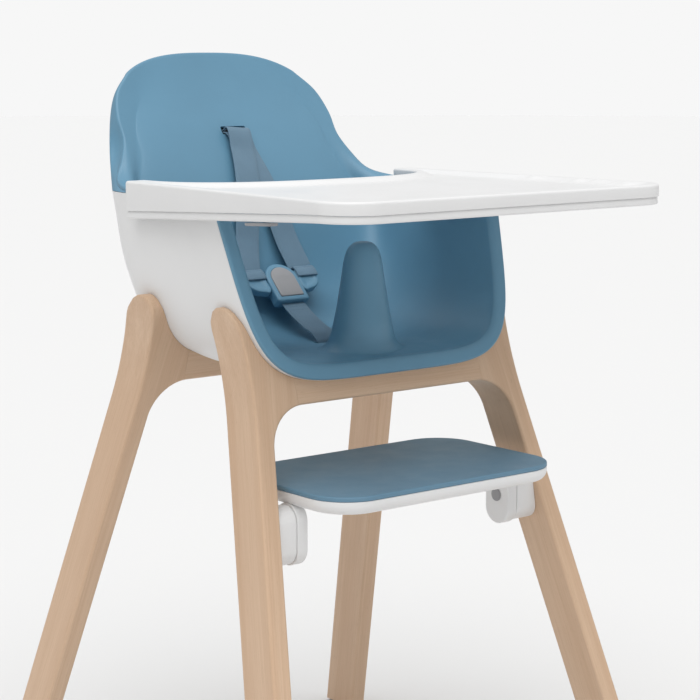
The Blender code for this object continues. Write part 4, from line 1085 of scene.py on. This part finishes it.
def edge_distance(points, outline):
    """Distance of each point to the closed outline."""
    a = np.array(outline)
    b = np.roll(a, -1, axis=0)
    ab = b - a
    best = np.full(len(points), 1e9)
    for start, step in zip(a, ab):
        t = np.clip(((points - start) @ step) / (step @ step), 0, 1)
        best = np.minimum(best, np.linalg.norm(points - (start + t[:, None] * step), axis=1))
    return best


def inside(points, outline):
    """Whether each point lies inside the outline, by counting crossings."""
    a = np.array(outline)
    b = np.roll(a, -1, axis=0)
    result = np.zeros(len(points), bool)
    for (x0, y0), (x1, y1) in zip(a, b):
        if y0 == y1:
            continue
        crosses = (points[:, 1] < y0) != (points[:, 1] < y1)
        at_x = x0 + (points[:, 1] - y0) / (y1 - y0) * (x1 - x0)
        result ^= crosses & (points[:, 0] < at_x)
    return result


DISH_START = 0.0095           # flat rim of the tray, then the slope into the dish
DISH_SLOPE = 0.0150
DISH_LINES = (0.007, 0.0095, 0.012, 0.0145, 0.017, 0.0195, 0.022, 0.0245)   # rows of facets over both
DISH_END = 0.026              # the dish is level inside this


def dish_drop(distance):
    t = np.clip((distance - DISH_START) / DISH_SLOPE, 0, 1)
    return TRAY_DISH * t * t * (3 - 2 * t)


def make_tray():
    outline, outer = tray_outline()
    count = len(outline)
    under = TRAY_TOP_Z - TRAY_DISH - TRAY_WALL

    def is_outer(i):
        return i < outer or i > count - outer

    def loop(inset, height):
        return [(p[0], p[1], height(outline[i][1], is_outer(i)))
                for i, p in enumerate(inset_outline(outline, inset))]

    def low(y, outside):
        return band_z(y) if outside else under - 0.0003

    shape = Shape()
    top_round = 0.0035
    lip_round = 0.0008
    rings = [loop(TRAY_WALL, lambda y, o: under), loop(TRAY_WALL, low), loop(lip_round, low)]
    rings += [loop(inset, lambda y, o, d=depth: low(y, o) + d) for inset, depth in quarter(lip_round, 3)[1:]]
    rings += [loop(inset, lambda y, o, d=depth: TRAY_TOP_Z - d)
              for inset, depth in quarter(top_round, 8)[::-1]]
    shape.rings(rings, True, False)
    edge = inset_outline(outline, top_round)
    step = 0.0055
    xs = np.arange(-TRAY_HALF_WIDTH, TRAY_HALF_WIDTH, step)
    ys = np.arange(TRAY_FRONT_Y, TRAY_ARM_END_Y, step)
    cloud = np.array([(x, y) for y in ys for x in xs])
    cloud = cloud[inside(cloud, edge)]
    keep = []
    for inset in DISH_LINES:
        line = inset_outline(outline, inset)[::2]
        line = line[inside(line, edge)]
        wanted = edge_distance(line, outline)
        keep.append(line[np.abs(wanted - wanted.max()) < 0.0012])
    extra = np.vstack(keep)
    cloud = cloud[edge_distance(cloud, outline) > DISH_END]
    middle = arm_fill(outline, edge, step)
    flat = [Vector(p) for p in edge] + [Vector(p) for p in np.vstack([cloud, extra, middle])]
    loops = [list(range(count))]
    verts, _, faces, _, _, _ = delaunay_2d_cdt(flat, [], loops, 1, 1e-5)
    plan = np.array([(v.x, v.y) for v in verts])
    z = TRAY_TOP_Z - dish_drop(edge_distance(plan, outline))
    shape.add([(p[0], p[1], h) for p, h in zip(plan, z)], [list(f) for f in faces])
    tray = to_object("tray_moulding", shape, [WHITE_LOOK], 42)
    return place(tray, "tray", "white_plastic", "tray_top")


def arm_fill(outline, edge, step):
    """Points over the arms, where the rim's lines from both sides meet."""
    xs = np.arange(-TRAY_HALF_WIDTH, TRAY_HALF_WIDTH, step * 0.7)
    ys = np.arange(TRAY_BELLY_Y - 0.09, TRAY_ARM_END_Y, step * 0.7)
    cloud = np.array([(x, y) for y in ys for x in xs])
    cloud = cloud[inside(cloud, edge)]
    deep = edge_distance(cloud, outline)
    return cloud[(deep > 0.0055) & (deep < DISH_END)]


# the lip's section: (inset from the tray's edge, drop below the band)
LIP_SECTION = ((0.0022, 0.0), (0.0019, 0.0008), (0.0008, LIP_HEIGHT * 0.78), (0.0012, LIP_HEIGHT * 0.90),
               (0.0022, LIP_HEIGHT * 0.98), (0.0034, LIP_HEIGHT), (TRAY_WALL + 0.0012, LIP_HEIGHT),
               (TRAY_WALL + 0.0012, 0.0))


def make_tray_lip():
    """The lower lip of the tray, drafted so that it catches the light under the band."""
    outline, outer = tray_outline()
    order = list(range(len(outline) - outer + 1, len(outline))) + list(range(outer))
    levels = [(inset_outline(outline, inset), drop) for inset, drop in LIP_SECTION]
    rings = []
    for i in order:
        top = band_z(outline[i][1]) - GAP
        rings.append([(*line[i], top - drop) for line, drop in levels])
    shape = Shape()
    shape.rings(rings)
    lip = to_object("tray_lip", shape, [WHITE_LOOK], 42)
    return place(lip, "tray", "white_plastic", "tray_base")


def make_levers():
    """Pull tabs of the tray's catches."""
    outline, outer = tray_outline()
    side = np.array(outline[outer - 9 - 32:outer - 9])
    x_at = float(np.interp(LEVER_Y, side[:, 1], side[:, 0]))
    top = band_z(LEVER_Y + LEVER_LENGTH / 2) - GAP - LIP_HEIGHT - GAP - 0.0012
    lean = (band_z(LEVER_Y - LEVER_LENGTH / 2) - band_z(LEVER_Y + LEVER_LENGTH / 2)) / LEVER_LENGTH
    for hand, sign in (("left", 1), ("right", -1)):
        centre = sign * (x_at - 0.010)
        levels = [(-LEVER_HEIGHT + depth, inset) for inset, depth in quarter(0.0018, 6)] + [(0, 0.0)]
        shape = Shape()
        shape.rings([[(centre + p, LEVER_Y + q, top + z - lean * (q - LEVER_LENGTH / 2)) for p, q in
                      round_rectangle(0.007, -LEVER_LENGTH / 2, LEVER_LENGTH / 2, 0.004, inset, 8)]
                     for z, inset in levels])
        lever = to_object("tray_lever_tab_" + hand, shape, [GREY_LOOK])
        place(lever, "tray_lever_" + hand, "grey_plastic", "tray_lever_" + hand)


# ---------------------------------------------------------------- footrest
def plate_ring(z, inset, steps=24):
    return [(x, y, z) for x, y in
            round_rectangle(PLATE_HALF_WIDTH, PLATE_FRONT_Y, PLATE_REAR_Y, PLATE_CORNER, inset, steps)]


def add_upright(shape, outline, x_levels):
    """Add a solid from an upright (y, z) outline, drawn in by each level's inset."""
    shape.rings([[(x, y, z) for y, z in inset_outline(outline, inset)] for x, inset in x_levels])


ARM_EDGE = 0.0022
HINGE_AIR = 0.0008            # footrest arm to hinge housing


def make_footrest():
    low, top = PLATE_LOW_Z, PLATE_LOW_Z + PLATE_THICK
    shape = Shape()
    belly = [(low, 0.030), (low, 0.012)]
    belly += [(low + 0.0125 * (1 - math.cos(a)), 0.012 - 0.012 * math.sin(a))
              for a in np.radians(np.linspace(6, 90, 12))]
    belly += [(top - 0.0005, 0.0), (top, 0.0005), (top, 0.020)]
    shape.rings([plate_ring(z, inset) for z, inset in belly])
    x_out = PLATE_HALF_WIDTH - 0.0035
    x_in = x_out - ARM_THICK
    outline = stadium(PIVOT_Y, PIVOT_Z, BRACKET_DEPTH / 2, low - PIVOT_Z + 0.003)
    for sign in (1, -1):
        inner = [(sign * (x_in + depth), inset) for inset, depth in quarter(ARM_EDGE, 5)]
        outer = [(sign * (x_out - depth), inset) for inset, depth in quarter(0.0010, 3)[::-1]]
        add_upright(shape, outline, inner + outer)
    frame_piece = to_object("footrest_moulding", shape, [WHITE_LOOK], 42)
    place(frame_piece, "footrest", "white_plastic", "footrest_frame")
    make_footrest_pad(top + GAP)
    return x_in, x_out


def make_footrest_pad(low):
    high = low + PAD_THICK
    levels = [(low, 0.030), (low, 0.0006), (low + 0.0006, 0.0)]
    levels += [(high - depth, inset) for inset, depth in quarter(0.0022, 7)[::-1]]
    levels += [(high, 0.006), (high, 0.030)]
    shape = Shape()
    shape.rings([plate_ring(z, inset) for z, inset in levels])
    pad = to_object("footrest_tread", shape, [PAD_LOOK], 42)
    place(pad, "footrest", "blue_plastic", "footrest_pad")


def make_hinges(x_in, x_out):
    start = x_out + HINGE_AIR
    for hand, sign in (("left", 1), ("right", -1)):
        outline = stadium(PIVOT_Y, PIVOT_Z, BRACKET_DEPTH / 2, BRACKET_RISE)
        levels = [(sign * (start + depth), inset) for inset, depth in quarter(0.0016, 4)]
        shape = Shape()
        add_upright(shape, outline, levels + [(sign * (start + 0.010), 0.0)])
        ring = shape.points[-len(outline):]
        far = [(sign * (leg_centre_x(z) - LEG_WIDTH / 2 - GAP), y, z) for _, y, z in ring]
        shape.faces.pop()
        shape.looks.pop()
        shape.rings([ring, far], False, True)
        housing = to_object("footrest_hinge_" + hand, shape, [WHITE_LOOK], 42)
        place(housing, "chassis", "white_plastic", "hinge_housing_" + hand)
        make_pin(hand, sign, x_in, start)


def make_pin(hand, sign, x_in, start):
    """Pivot pin with a shallow domed head."""
    head = x_in - GAP
    profile = [(PIN_HEAD_RADIUS * math.sin(a), head - PIN_HEAD_THICK * (0.35 + 0.65 * math.cos(a)))
               for a in np.radians(np.linspace(0.3, 90, 12))]
    profile += [(PIN_HEAD_RADIUS, head), (PIN_RADIUS, head), (PIN_RADIUS, start + 0.0155)]
    shape = Shape()
    shape.rings([[(sign * x, PIVOT_Y + r * math.cos(a), PIVOT_Z + r * math.sin(a))
                  for a in full_turn(40)] for r, x in profile])
    pin = to_object("footrest_pin_" + hand, shape, [GREY_LOOK], 42)
    place(pin, "chassis", "grey_plastic", "pivot_pin_" + hand)


# ---------------------------------------------------------------- harness
STRAP_EDGE = 0.0006           # round on the webbing's edges


def shoulder_path(tree, sign, stack, end):
    """A shoulder strap from behind the slot down the back to the buckle's tongue."""
    keys = [(0.000, SLOT_Z - 0.0035 + 0.7 * stack, 0.0020 + stack), (0.004, SLOT_Z - 0.030, 0.0030 + stack),
            (0.0125, 0.780, 0.0045 + stack), (0.0245, 0.735, 0.0070 + stack / 2), (0.0320, 0.700, 0.0095)]
    points, guide = [], []
    root, out = on_back(tree, 0, SLOT_Z)
    level = unit(vec(0, -0.35, 0.94))
    for depth in (0.018, 0.006):
        points.append(root - out * depth + level * (stack - SLOT_HALF_HEIGHT / 2))
        guide.append(level)
    for x, z, air in keys:
        found, normal = on_back(tree, sign * x, z)
        points.append(found + normal * (air + STRAP_THICK / 2))
        guide.append(normal)
    points.append(end)
    guide.append(guide[-1])
    samples = np.linspace(0, 1, 150) ** 1.35
    return spline(points, samples), spline(points, samples, guide)


def buckle_frame(tree):
    """The buckle's placement: origin in its middle, its face out from the seat back."""
    found, _ = on_back(tree, 0, BUCKLE_Z)
    face = unit(vec(0, -0.72, 0.70))
    up = unit(np.cross(face, vec(1, 0, 0)))
    if up[2] < 0:
        up = -up
    return vec(0, found[1] - BUCKLE_THICK / 2 - BUCKLE_AIR, BUCKLE_Z), up, face


def ribbon(name, points, guide, thickness=STRAP_THICK, width=STRAP_WIDTH):
    """Webbing through points with rounded edges; it stores how far along and across each point lies."""
    pts = np.array(points)
    along = np.gradient(pts, axis=0)
    steps = np.linalg.norm(np.diff(pts, axis=0), axis=1)
    walked = np.r_[0, np.cumsum(steps)]
    along /= np.linalg.norm(along, axis=1)[:, None]
    across = np.cross(along, np.array(guide))
    across /= np.linalg.norm(across, axis=1)[:, None]
    normal = np.cross(across, along)
    half = width / 2
    section = [(half - STRAP_EDGE + STRAP_EDGE * math.cos(a), (thickness / 2) * math.sin(a))
               for a in np.radians((-90, -45, 0, 45, 90))]
    section += [(s, thickness / 2) for s in np.linspace(half - STRAP_EDGE, -half + STRAP_EDGE, 9)[1:-1]]
    section += [(-a, -b) for a, b in section[:5]]
    section += [(-s, -thickness / 2) for s in np.linspace(half - STRAP_EDGE, -half + STRAP_EDGE, 9)[1:-1]]
    shape = Shape()
    shape.rings([[p + a * s + n * h for s, h in section] for p, a, n in zip(pts, across, normal)])
    obj = to_object(name, shape, [WEB_LOOK], 60)
    values = []
    for v in obj.data.vertices:
        place_at = np.array(v.co) - SHIFT
        k = int(np.argmin(np.linalg.norm(pts - place_at, axis=1)))
        values += [walked[k] + (place_at - pts[k]) @ along[k], (place_at - pts[k]) @ across[k], 0.0]
    obj.data.attributes.new("strap", "FLOAT_VECTOR", "POINT").data.foreach_set("vector", values)
    return obj, pts, across, normal


def arch_outline(half, low, high, corner):
    """A doorway shape: square below with soft corners, half-round above."""
    points = arc(0, high - half, half, 0, 180, 40)
    points += arc(-half + corner, low + corner, corner, 180, 270, 6)
    return points + arc(half - corner, low + corner, corner, 270, 360, 6)


def back_edge(outline, radius, steps, level):
    """Rings round the edge of an outline's back face, which lies at level."""
    return [[(*p, level + depth) for p in inset_outline(outline, inset)]
            for inset, depth in quarter(radius, steps)]


def front_edge(outline, radius, steps, level):
    """Rings round the edge of an outline's front face, which lies at level."""
    return [[(*p, level - depth) for p in inset_outline(outline, inset)]
            for inset, depth in quarter(radius, steps)[::-1]]


def lay_out(rings, origin, up, face):
    """Rings of (across, up, out) turned into the buckle's place."""
    return [[origin + vec(1, 0, 0) * a + up * b + face * c for a, b, c in ring] for ring in rings]


def smooth_outline(points, count):
    """A closed smooth curve through the outline's corners."""
    loop = list(points) + list(points[:3])
    loop = list(points[-3:]) + loop
    pts = np.array(loop)
    chord = np.r_[0, np.cumsum(np.linalg.norm(np.diff(pts, axis=0), axis=1))]
    start, end = chord[3] / chord[-1], chord[3 + len(points)] / chord[-1]
    return [tuple(p) for p in spline(loop, np.linspace(start, end, count + 1)[:-1])]


def make_buckle(origin, up, face):
    half, low = BUCKLE_WIDTH / 2, -BUCKLE_HEIGHT / 2
    thick = BUCKLE_THICK / 2
    press_half = half - BUTTON_INSET
    fit = 0.0004
    outer = arch_outline(half, low, -low, 0.004)
    pocket = arch_outline(press_half + fit, low + BUTTON_INSET - fit, -low - BUTTON_INSET + fit, 0.002)
    rings = back_edge(outer, 0.0016, 5, -thick) + front_edge(outer, 0.0030, 9, thick)
    for inset, depth in quarter(0.0012, 5):
        rings.append([(*p, thick - depth) for p in inset_outline(pocket, inset - 0.0012)])
    rings.append([(*p, thick - 0.0050) for p in pocket])
    shape = Shape()
    shape.rings(lay_out(rings, origin, up, face))
    body = to_object("buckle_moulding", shape, [BLUE_LOOK], 42)
    place(body, "chassis", "blue_plastic", "buckle_body")
    press = arch_outline(press_half, low + BUTTON_INSET, -low - BUTTON_INSET, 0.002)
    centre_b = np.array(press).mean(axis=0)[1]
    high = thick + BUTTON_PROUD
    crowning = 0.0008             # how far the button's middle stands over its edge
    rings = [[(*p, thick - 0.0024) for p in press]] + front_edge(press, 0.0011, 5, high - crowning)
    for share in (0.82, 0.6, 0.35, 0.12):
        crown = high - crowning + crowning * (1 - share ** 2)
        ring = []
        for a, b in inset_outline(press, 0.0011):
            rise = (b - centre_b) * share
            dimple = 0.0009 * math.exp(-(rise + 0.006) ** 2 / 0.00002)
            ring.append((a * share, centre_b + rise, crown - dimple))
        rings.append(ring)
    shape = Shape()
    shape.rings(lay_out(rings, origin, up, face))
    button = to_object("buckle_press", shape, [GREY_LOOK], 42)
    place(button, "buckle_button", "grey_plastic", "buckle_button")


def make_tongue(hand, sign, origin, up, face):
    half, low = BUCKLE_WIDTH / 2, -BUCKLE_HEIGHT / 2
    near, far = half + GAP, half + GAP + TONGUE_WIDTH
    crown = -low - TONGUE_DROP
    corners = [(near, low + 0.016), (far - 0.012, low + 0.020), (far - 0.004, low + 0.026),
               (far, low + 0.034), (far, crown - 0.002), (far - 0.002, crown), (near + 0.002, crown),
               (near, crown - 0.002)]
    dense = []
    for (a0, b0), (a1, b1) in zip(corners, corners[1:] + corners[:1]):
        dense += [(mix(a0, a1, t), mix(b0, b1, t)) for t in (0.18, 0.5, 0.82)]
    outline = [(sign * a, b) for a, b in dense][::sign]
    outline = smooth_outline(outline, 84)
    thick = BUCKLE_THICK * 0.36
    rings = back_edge(outline, 0.0014, 5, -thick) + front_edge(outline, 0.0020, 7, thick)
    centre = np.array(outline).mean(axis=0)
    for share, sink in ((0.74, 0.0), (0.68, 0.0005), (0.30, 0.0008)):
        rings.append([(*(centre + (p - centre) * share), thick - sink)
                      for p in inset_outline(outline, 0.0020)])
    shape = Shape()
    shape.rings(lay_out(rings, origin, up, face))
    tongue = to_object("buckle_wing_" + hand, shape, [BLUE_LOOK], 42)
    body = "buckle_tongue_" + hand
    place(tongue, body, "blue_plastic", body)
    return sign * (near + far) / 2, thick


def across_row(pts, outer, across, k, inset):
    """A row of thread from edge to edge of a strap, at one of its samples."""
    return np.array([pts[k] + outer[k] + across[k] * s for s in np.linspace(-inset, inset, 12)])


def make_strap_tab(hand, middle, thick, end, origin, up, face, start_guide):
    """The strap's doubled end, folded over the tongue and sewn."""
    body = "buckle_tongue_" + hand
    low = -BUCKLE_HEIGHT / 2 + TONGUE_DROP
    on_top = origin + vec(middle, 0, 0)
    lift = face * (thick + STRAP_THICK * 0.9)
    keys = [end - face * 0.0002, on_top + up * (-low + 0.0030) + face * (thick * 0.6 + 0.0012),
            on_top + up * (-low - 0.0030) + lift, on_top + up * (-low - 0.0135) + lift]
    samples = np.linspace(0, 1, 40)
    guide = [start_guide, unit(start_guide + face), face, face]
    path, guides = spline(keys, samples), spline(keys, samples, guide)
    tab, pts, across, normal = ribbon("strap_tab_" + hand, path, guides, STRAP_THICK * 1.7,
                                      STRAP_WIDTH - 0.004)
    place(tab, body, "webbing")
    outer = normal * (STRAP_THICK * 0.85 + 0.00010)
    inset = STRAP_WIDTH / 2 - 0.0042
    first, last = 14, 36          # the sewn box, in samples along the tab
    sewn_part = slice(first, last + 1)
    rows = [pts[sewn_part] + outer[sewn_part] + across[sewn_part] * inset * share for share in (-1, 1)]
    rows += [across_row(pts, outer, across, k, inset) for k in (first, last)]
    sewn = make_stitches("strap_tab_stitches_" + hand, rows)
    place(sewn, body, "webbing")


def make_harness(surfaces):
    tree = surface_tree(surfaces[3])
    origin, up, face = buckle_frame(tree)
    make_buckle(origin, up, face)
    low = -BUCKLE_HEIGHT / 2
    for hand, sign, stack in (("left", 1, 0.0), ("right", -1, STRAP_THICK * 2.6)):
        middle, thick = make_tongue(hand, sign, origin, up, face)
        end = origin + vec(middle, 0, 0) + up * (-low - TONGUE_DROP + STRAP_WIDTH * STRAP_SLANT)
        points, guide = shoulder_path(tree, sign, stack, end)
        strap, pts, _, _ = ribbon("shoulder_webbing_" + hand, points, guide)
        make_strap_tab(hand, middle, thick, end, origin, up, face, unit(guide[-1]))
        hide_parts("shoulder_strap_" + hand)
        top, bottom = pts[len(pts) // 2] + SHIFT, pts[-2] + SHIFT
        tuple(top)
        tuple(bottom)
        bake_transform(strap)
    make_crotch_strap(tree, origin, up, face)


def make_crotch_strap(tree, origin, up, face):
    low = -BUCKLE_HEIGHT / 2
    found, _ = on_floor(tree, 0, CROTCH_SLOT_Y)
    keys = [found + vec(0, 0.002, -0.014), found + vec(0, 0.0015, -0.001), found + vec(0, 0.010, 0.008)]
    guide = [vec(0, -1, 0), vec(0, -0.9, 0.45), unit(vec(0, -0.5, 0.85))]
    end = origin + up * (low - 0.0008)
    for t in (0.35, 0.75):
        keys.append(mix(keys[2], end, t) - vec(0, 0, 0.002))
        guide.append(unit(vec(0, -0.45, 0.89)))
    keys.append(end)
    guide.append(face)
    samples = np.linspace(0, 1, 110)
    strap, pts, across, normal = ribbon("crotch_webbing", spline(keys, samples), spline(keys, samples, guide))
    place(strap, "chassis", "webbing", "crotch_strap")
    outer = normal * (STRAP_THICK / 2 + 0.00010)
    inset = STRAP_WIDTH / 2 - 0.0035
    rows = [across_row(pts, outer, across, k, inset) for k in (94, 101)]
    sewn = make_stitches("crotch_stitches", rows)
    place(sewn, "chassis", "webbing")


# ---------------------------------------------------------------- stitches
STITCH_PITCH = 0.0028


def stitch_group():
    """Geometry Nodes: thread stitches laid end to end along the object's edges."""
    group = bpy.data.node_groups.new("sewn_line", "GeometryNodeTree")
    group.interface.new_socket("Geometry", in_out="INPUT", socket_type="NodeSocketGeometry")
    for label, value in (("Pitch", STITCH_PITCH), ("Stitch Length", 0.0021), ("Thread Radius", 0.00022)):
        socket = group.interface.new_socket(label, in_out="INPUT", socket_type="NodeSocketFloat")
        socket.default_value = value
    group.interface.new_socket("Thread", in_out="INPUT", socket_type="NodeSocketMaterial")
    group.interface.new_socket("Geometry", in_out="OUTPUT", socket_type="NodeSocketGeometry")
    new = group.nodes.new
    given, result = new("NodeGroupInput"), new("NodeGroupOutput")
    curve, resample, tangent, ball, shape, instance, real, smooth_faces, paint = (
        new("GeometryNode" + kind) for kind in
        ("MeshToCurve", "ResampleCurve", "InputTangent", "MeshIcoSphere", "Transform", "InstanceOnPoints",
         "RealizeInstances", "SetShadeSmooth", "SetMaterial"))
    align = new("FunctionNodeAlignRotationToVector")
    stretch, half = new("ShaderNodeCombineXYZ"), new("ShaderNodeMath")
    resample.mode = "LENGTH"
    align.axis = "Z"
    ball.inputs["Subdivisions"].default_value = 2
    half.operation = "MULTIPLY"
    half.inputs[1].default_value = 0.5
    wire(group, (
        (given, "Geometry", curve, "Mesh"), (curve, "Curve", resample, "Curve"),
        (given, "Pitch", resample, "Length"), (tangent, "Tangent", align, "Vector"),
        (given, "Stitch Length", half, 0), (given, "Thread Radius", stretch, "X"),
        (given, "Thread Radius", stretch, "Y"), (half, "Value", stretch, "Z"),
        (ball, "Mesh", shape, "Geometry"), (stretch, "Vector", shape, "Scale"),
        (resample, "Curve", instance, "Points"), (shape, "Geometry", instance, "Instance"),
        (align, "Rotation", instance, "Rotation"), (instance, "Instances", real, "Geometry"),
        (real, "Geometry", smooth_faces, "Geometry"), (smooth_faces, "Geometry", paint, "Geometry"),
        (given, "Thread", paint, "Material"), (paint, "Geometry", result, "Geometry")))
    return group


STITCHES = stitch_group()


def make_stitches(name, rows):
    """Sewn rows as one plain mesh, from lists of points on the webbing's face."""
    points, edges = [], []
    for row in rows:
        start = len(points)
        points += [tuple(np.array(p) + SHIFT) for p in row]
        edges += [(start + i, start + i + 1) for i in range(len(row) - 1)]
    guide = bpy.data.meshes.new(name + "_guide")
    guide.from_pydata(points, edges, [])
    obj = new_object(name, guide)
    mod = obj.modifiers.new("sewing", "NODES")
    mod.node_group = STITCHES
    names = {item.name: item.identifier for item in STITCHES.interface.items_tree if item.in_out == "INPUT"}
    mod[names["Pitch"]] = STITCH_PITCH
    mod[names["Thread"]] = THREAD_LOOK
    bpy.context.view_layer.update()
    evaluated = obj.evaluated_get(bpy.context.evaluated_depsgraph_get())
    mesh = bpy.data.meshes.new_from_object(evaluated)
    mesh.name = name
    obj.modifiers.clear()
    obj.data = mesh
    bpy.data.meshes.remove(guide)
    return obj


# ---------------------------------------------------------------- stage, light and camera
FLOOR_RADIUS = 30
FLOOR = 0.74                  # how light the floor is
SKY_LOW = 0.35                # the studio's glow below, and
SKY_HIGH = 0.90               # overhead
BACKDROP = 0.93               # how bright the backdrop looks
FILM_WIDTH = 36.0
FOCAL_LENGTH = FILM_WIDTH * 2000 / 700
CAMERA_PLACE = (-1.601, -2.033, 0.949)
CAMERA_AZIMUTH = -39.15       # degrees from the front, towards the chair's right
CAMERA_DIP = 8.461            # degrees below level


def make_stage():
    shape = Shape()
    angles = full_turn(96)
    ring = [(FLOOR_RADIUS * math.cos(a), FLOOR_RADIUS * math.sin(a), FLOOR_Z) for a in angles]
    shape.add(ring, [list(range(len(ring)))])
    n = Nodes("floor")
    tones = (FLOOR, FLOOR, FLOOR, 1), (FLOOR * 1.005, FLOOR * 1.005, FLOOR, 1)
    n.link(n.blend(n.noise(n.coords(), 2.0), *tones), "Base Color")
    n.shader.inputs["Roughness"].default_value = 0.9
    n.shader.inputs["Specular IOR Level"].default_value = 0.1
    to_object("floor", shape, [n.mat])
    world = bpy.data.worlds.new("studio")
    bpy.context.scene.world = world
    world.use_nodes = True
    tree = world.node_tree
    background = tree.nodes["Background"]
    path, strength, where, split, sky = (tree.nodes.new("ShaderNode" + kind) for kind in
                                         ("LightPath", "Mix", "TexCoord", "SeparateXYZ", "MapRange"))
    sky.inputs["To Min"].default_value = SKY_LOW
    sky.inputs["To Max"].default_value = SKY_HIGH
    strength.inputs["B"].default_value = BACKDROP
    wire(tree, ((path, "Is Camera Ray", strength, "Factor"), (where, "Generated", split, 0),
                (split, "Z", sky, "Value"), (sky, "Result", strength, "A"),
                (strength, "Result", background, "Strength")))
    background.inputs["Color"].default_value = (1, 1, 1, 1)


def add_sun(name, azimuth, elevation, strength, angle):
    """A wide soft light from an azimuth (0 = from the chair's front, 90 = from its left hand, +X)."""
    data = bpy.data.lights.new(name, "SUN")
    data.energy = strength
    data.angle = math.radians(angle)
    obj = new_object(name, data)
    a, e = math.radians(azimuth), math.radians(elevation)
    source = Vector((math.sin(a) * math.cos(e), -math.cos(a) * math.cos(e), math.sin(e)))
    obj.rotation_euler = (-source).to_track_quat("-Z", "Y").to_euler()


def make_camera():
    data = bpy.data.cameras.new("camera")
    data.sensor_width = FILM_WIDTH
    data.lens = FOCAL_LENGTH
    data.clip_start, data.clip_end = 0.05, 200
    camera = new_object("camera", data)
    a, p = math.radians(CAMERA_AZIMUTH), math.radians(CAMERA_DIP)
    forward = Vector((-math.sin(a) * math.cos(p), math.cos(a) * math.cos(p), -math.sin(p)))
    camera.location = Vector(CAMERA_PLACE) + Vector(SHIFT)
    camera.rotation_euler = forward.to_track_quat("-Z", "Y").to_euler()
    bpy.context.scene.camera = camera


SURFACES = seat_surfaces()
make_seat(SURFACES)
make_post(SURFACES)
make_shell()
make_frames()
make_glides()
make_tray()
make_tray_lip()
make_levers()
make_hinges(*make_footrest())
make_harness(SURFACES)
make_stage()
add_sun("key", -40, 65, 1.87, 60)
bpy.context.scene.view_settings.view_transform = "Standard"
make_camera()
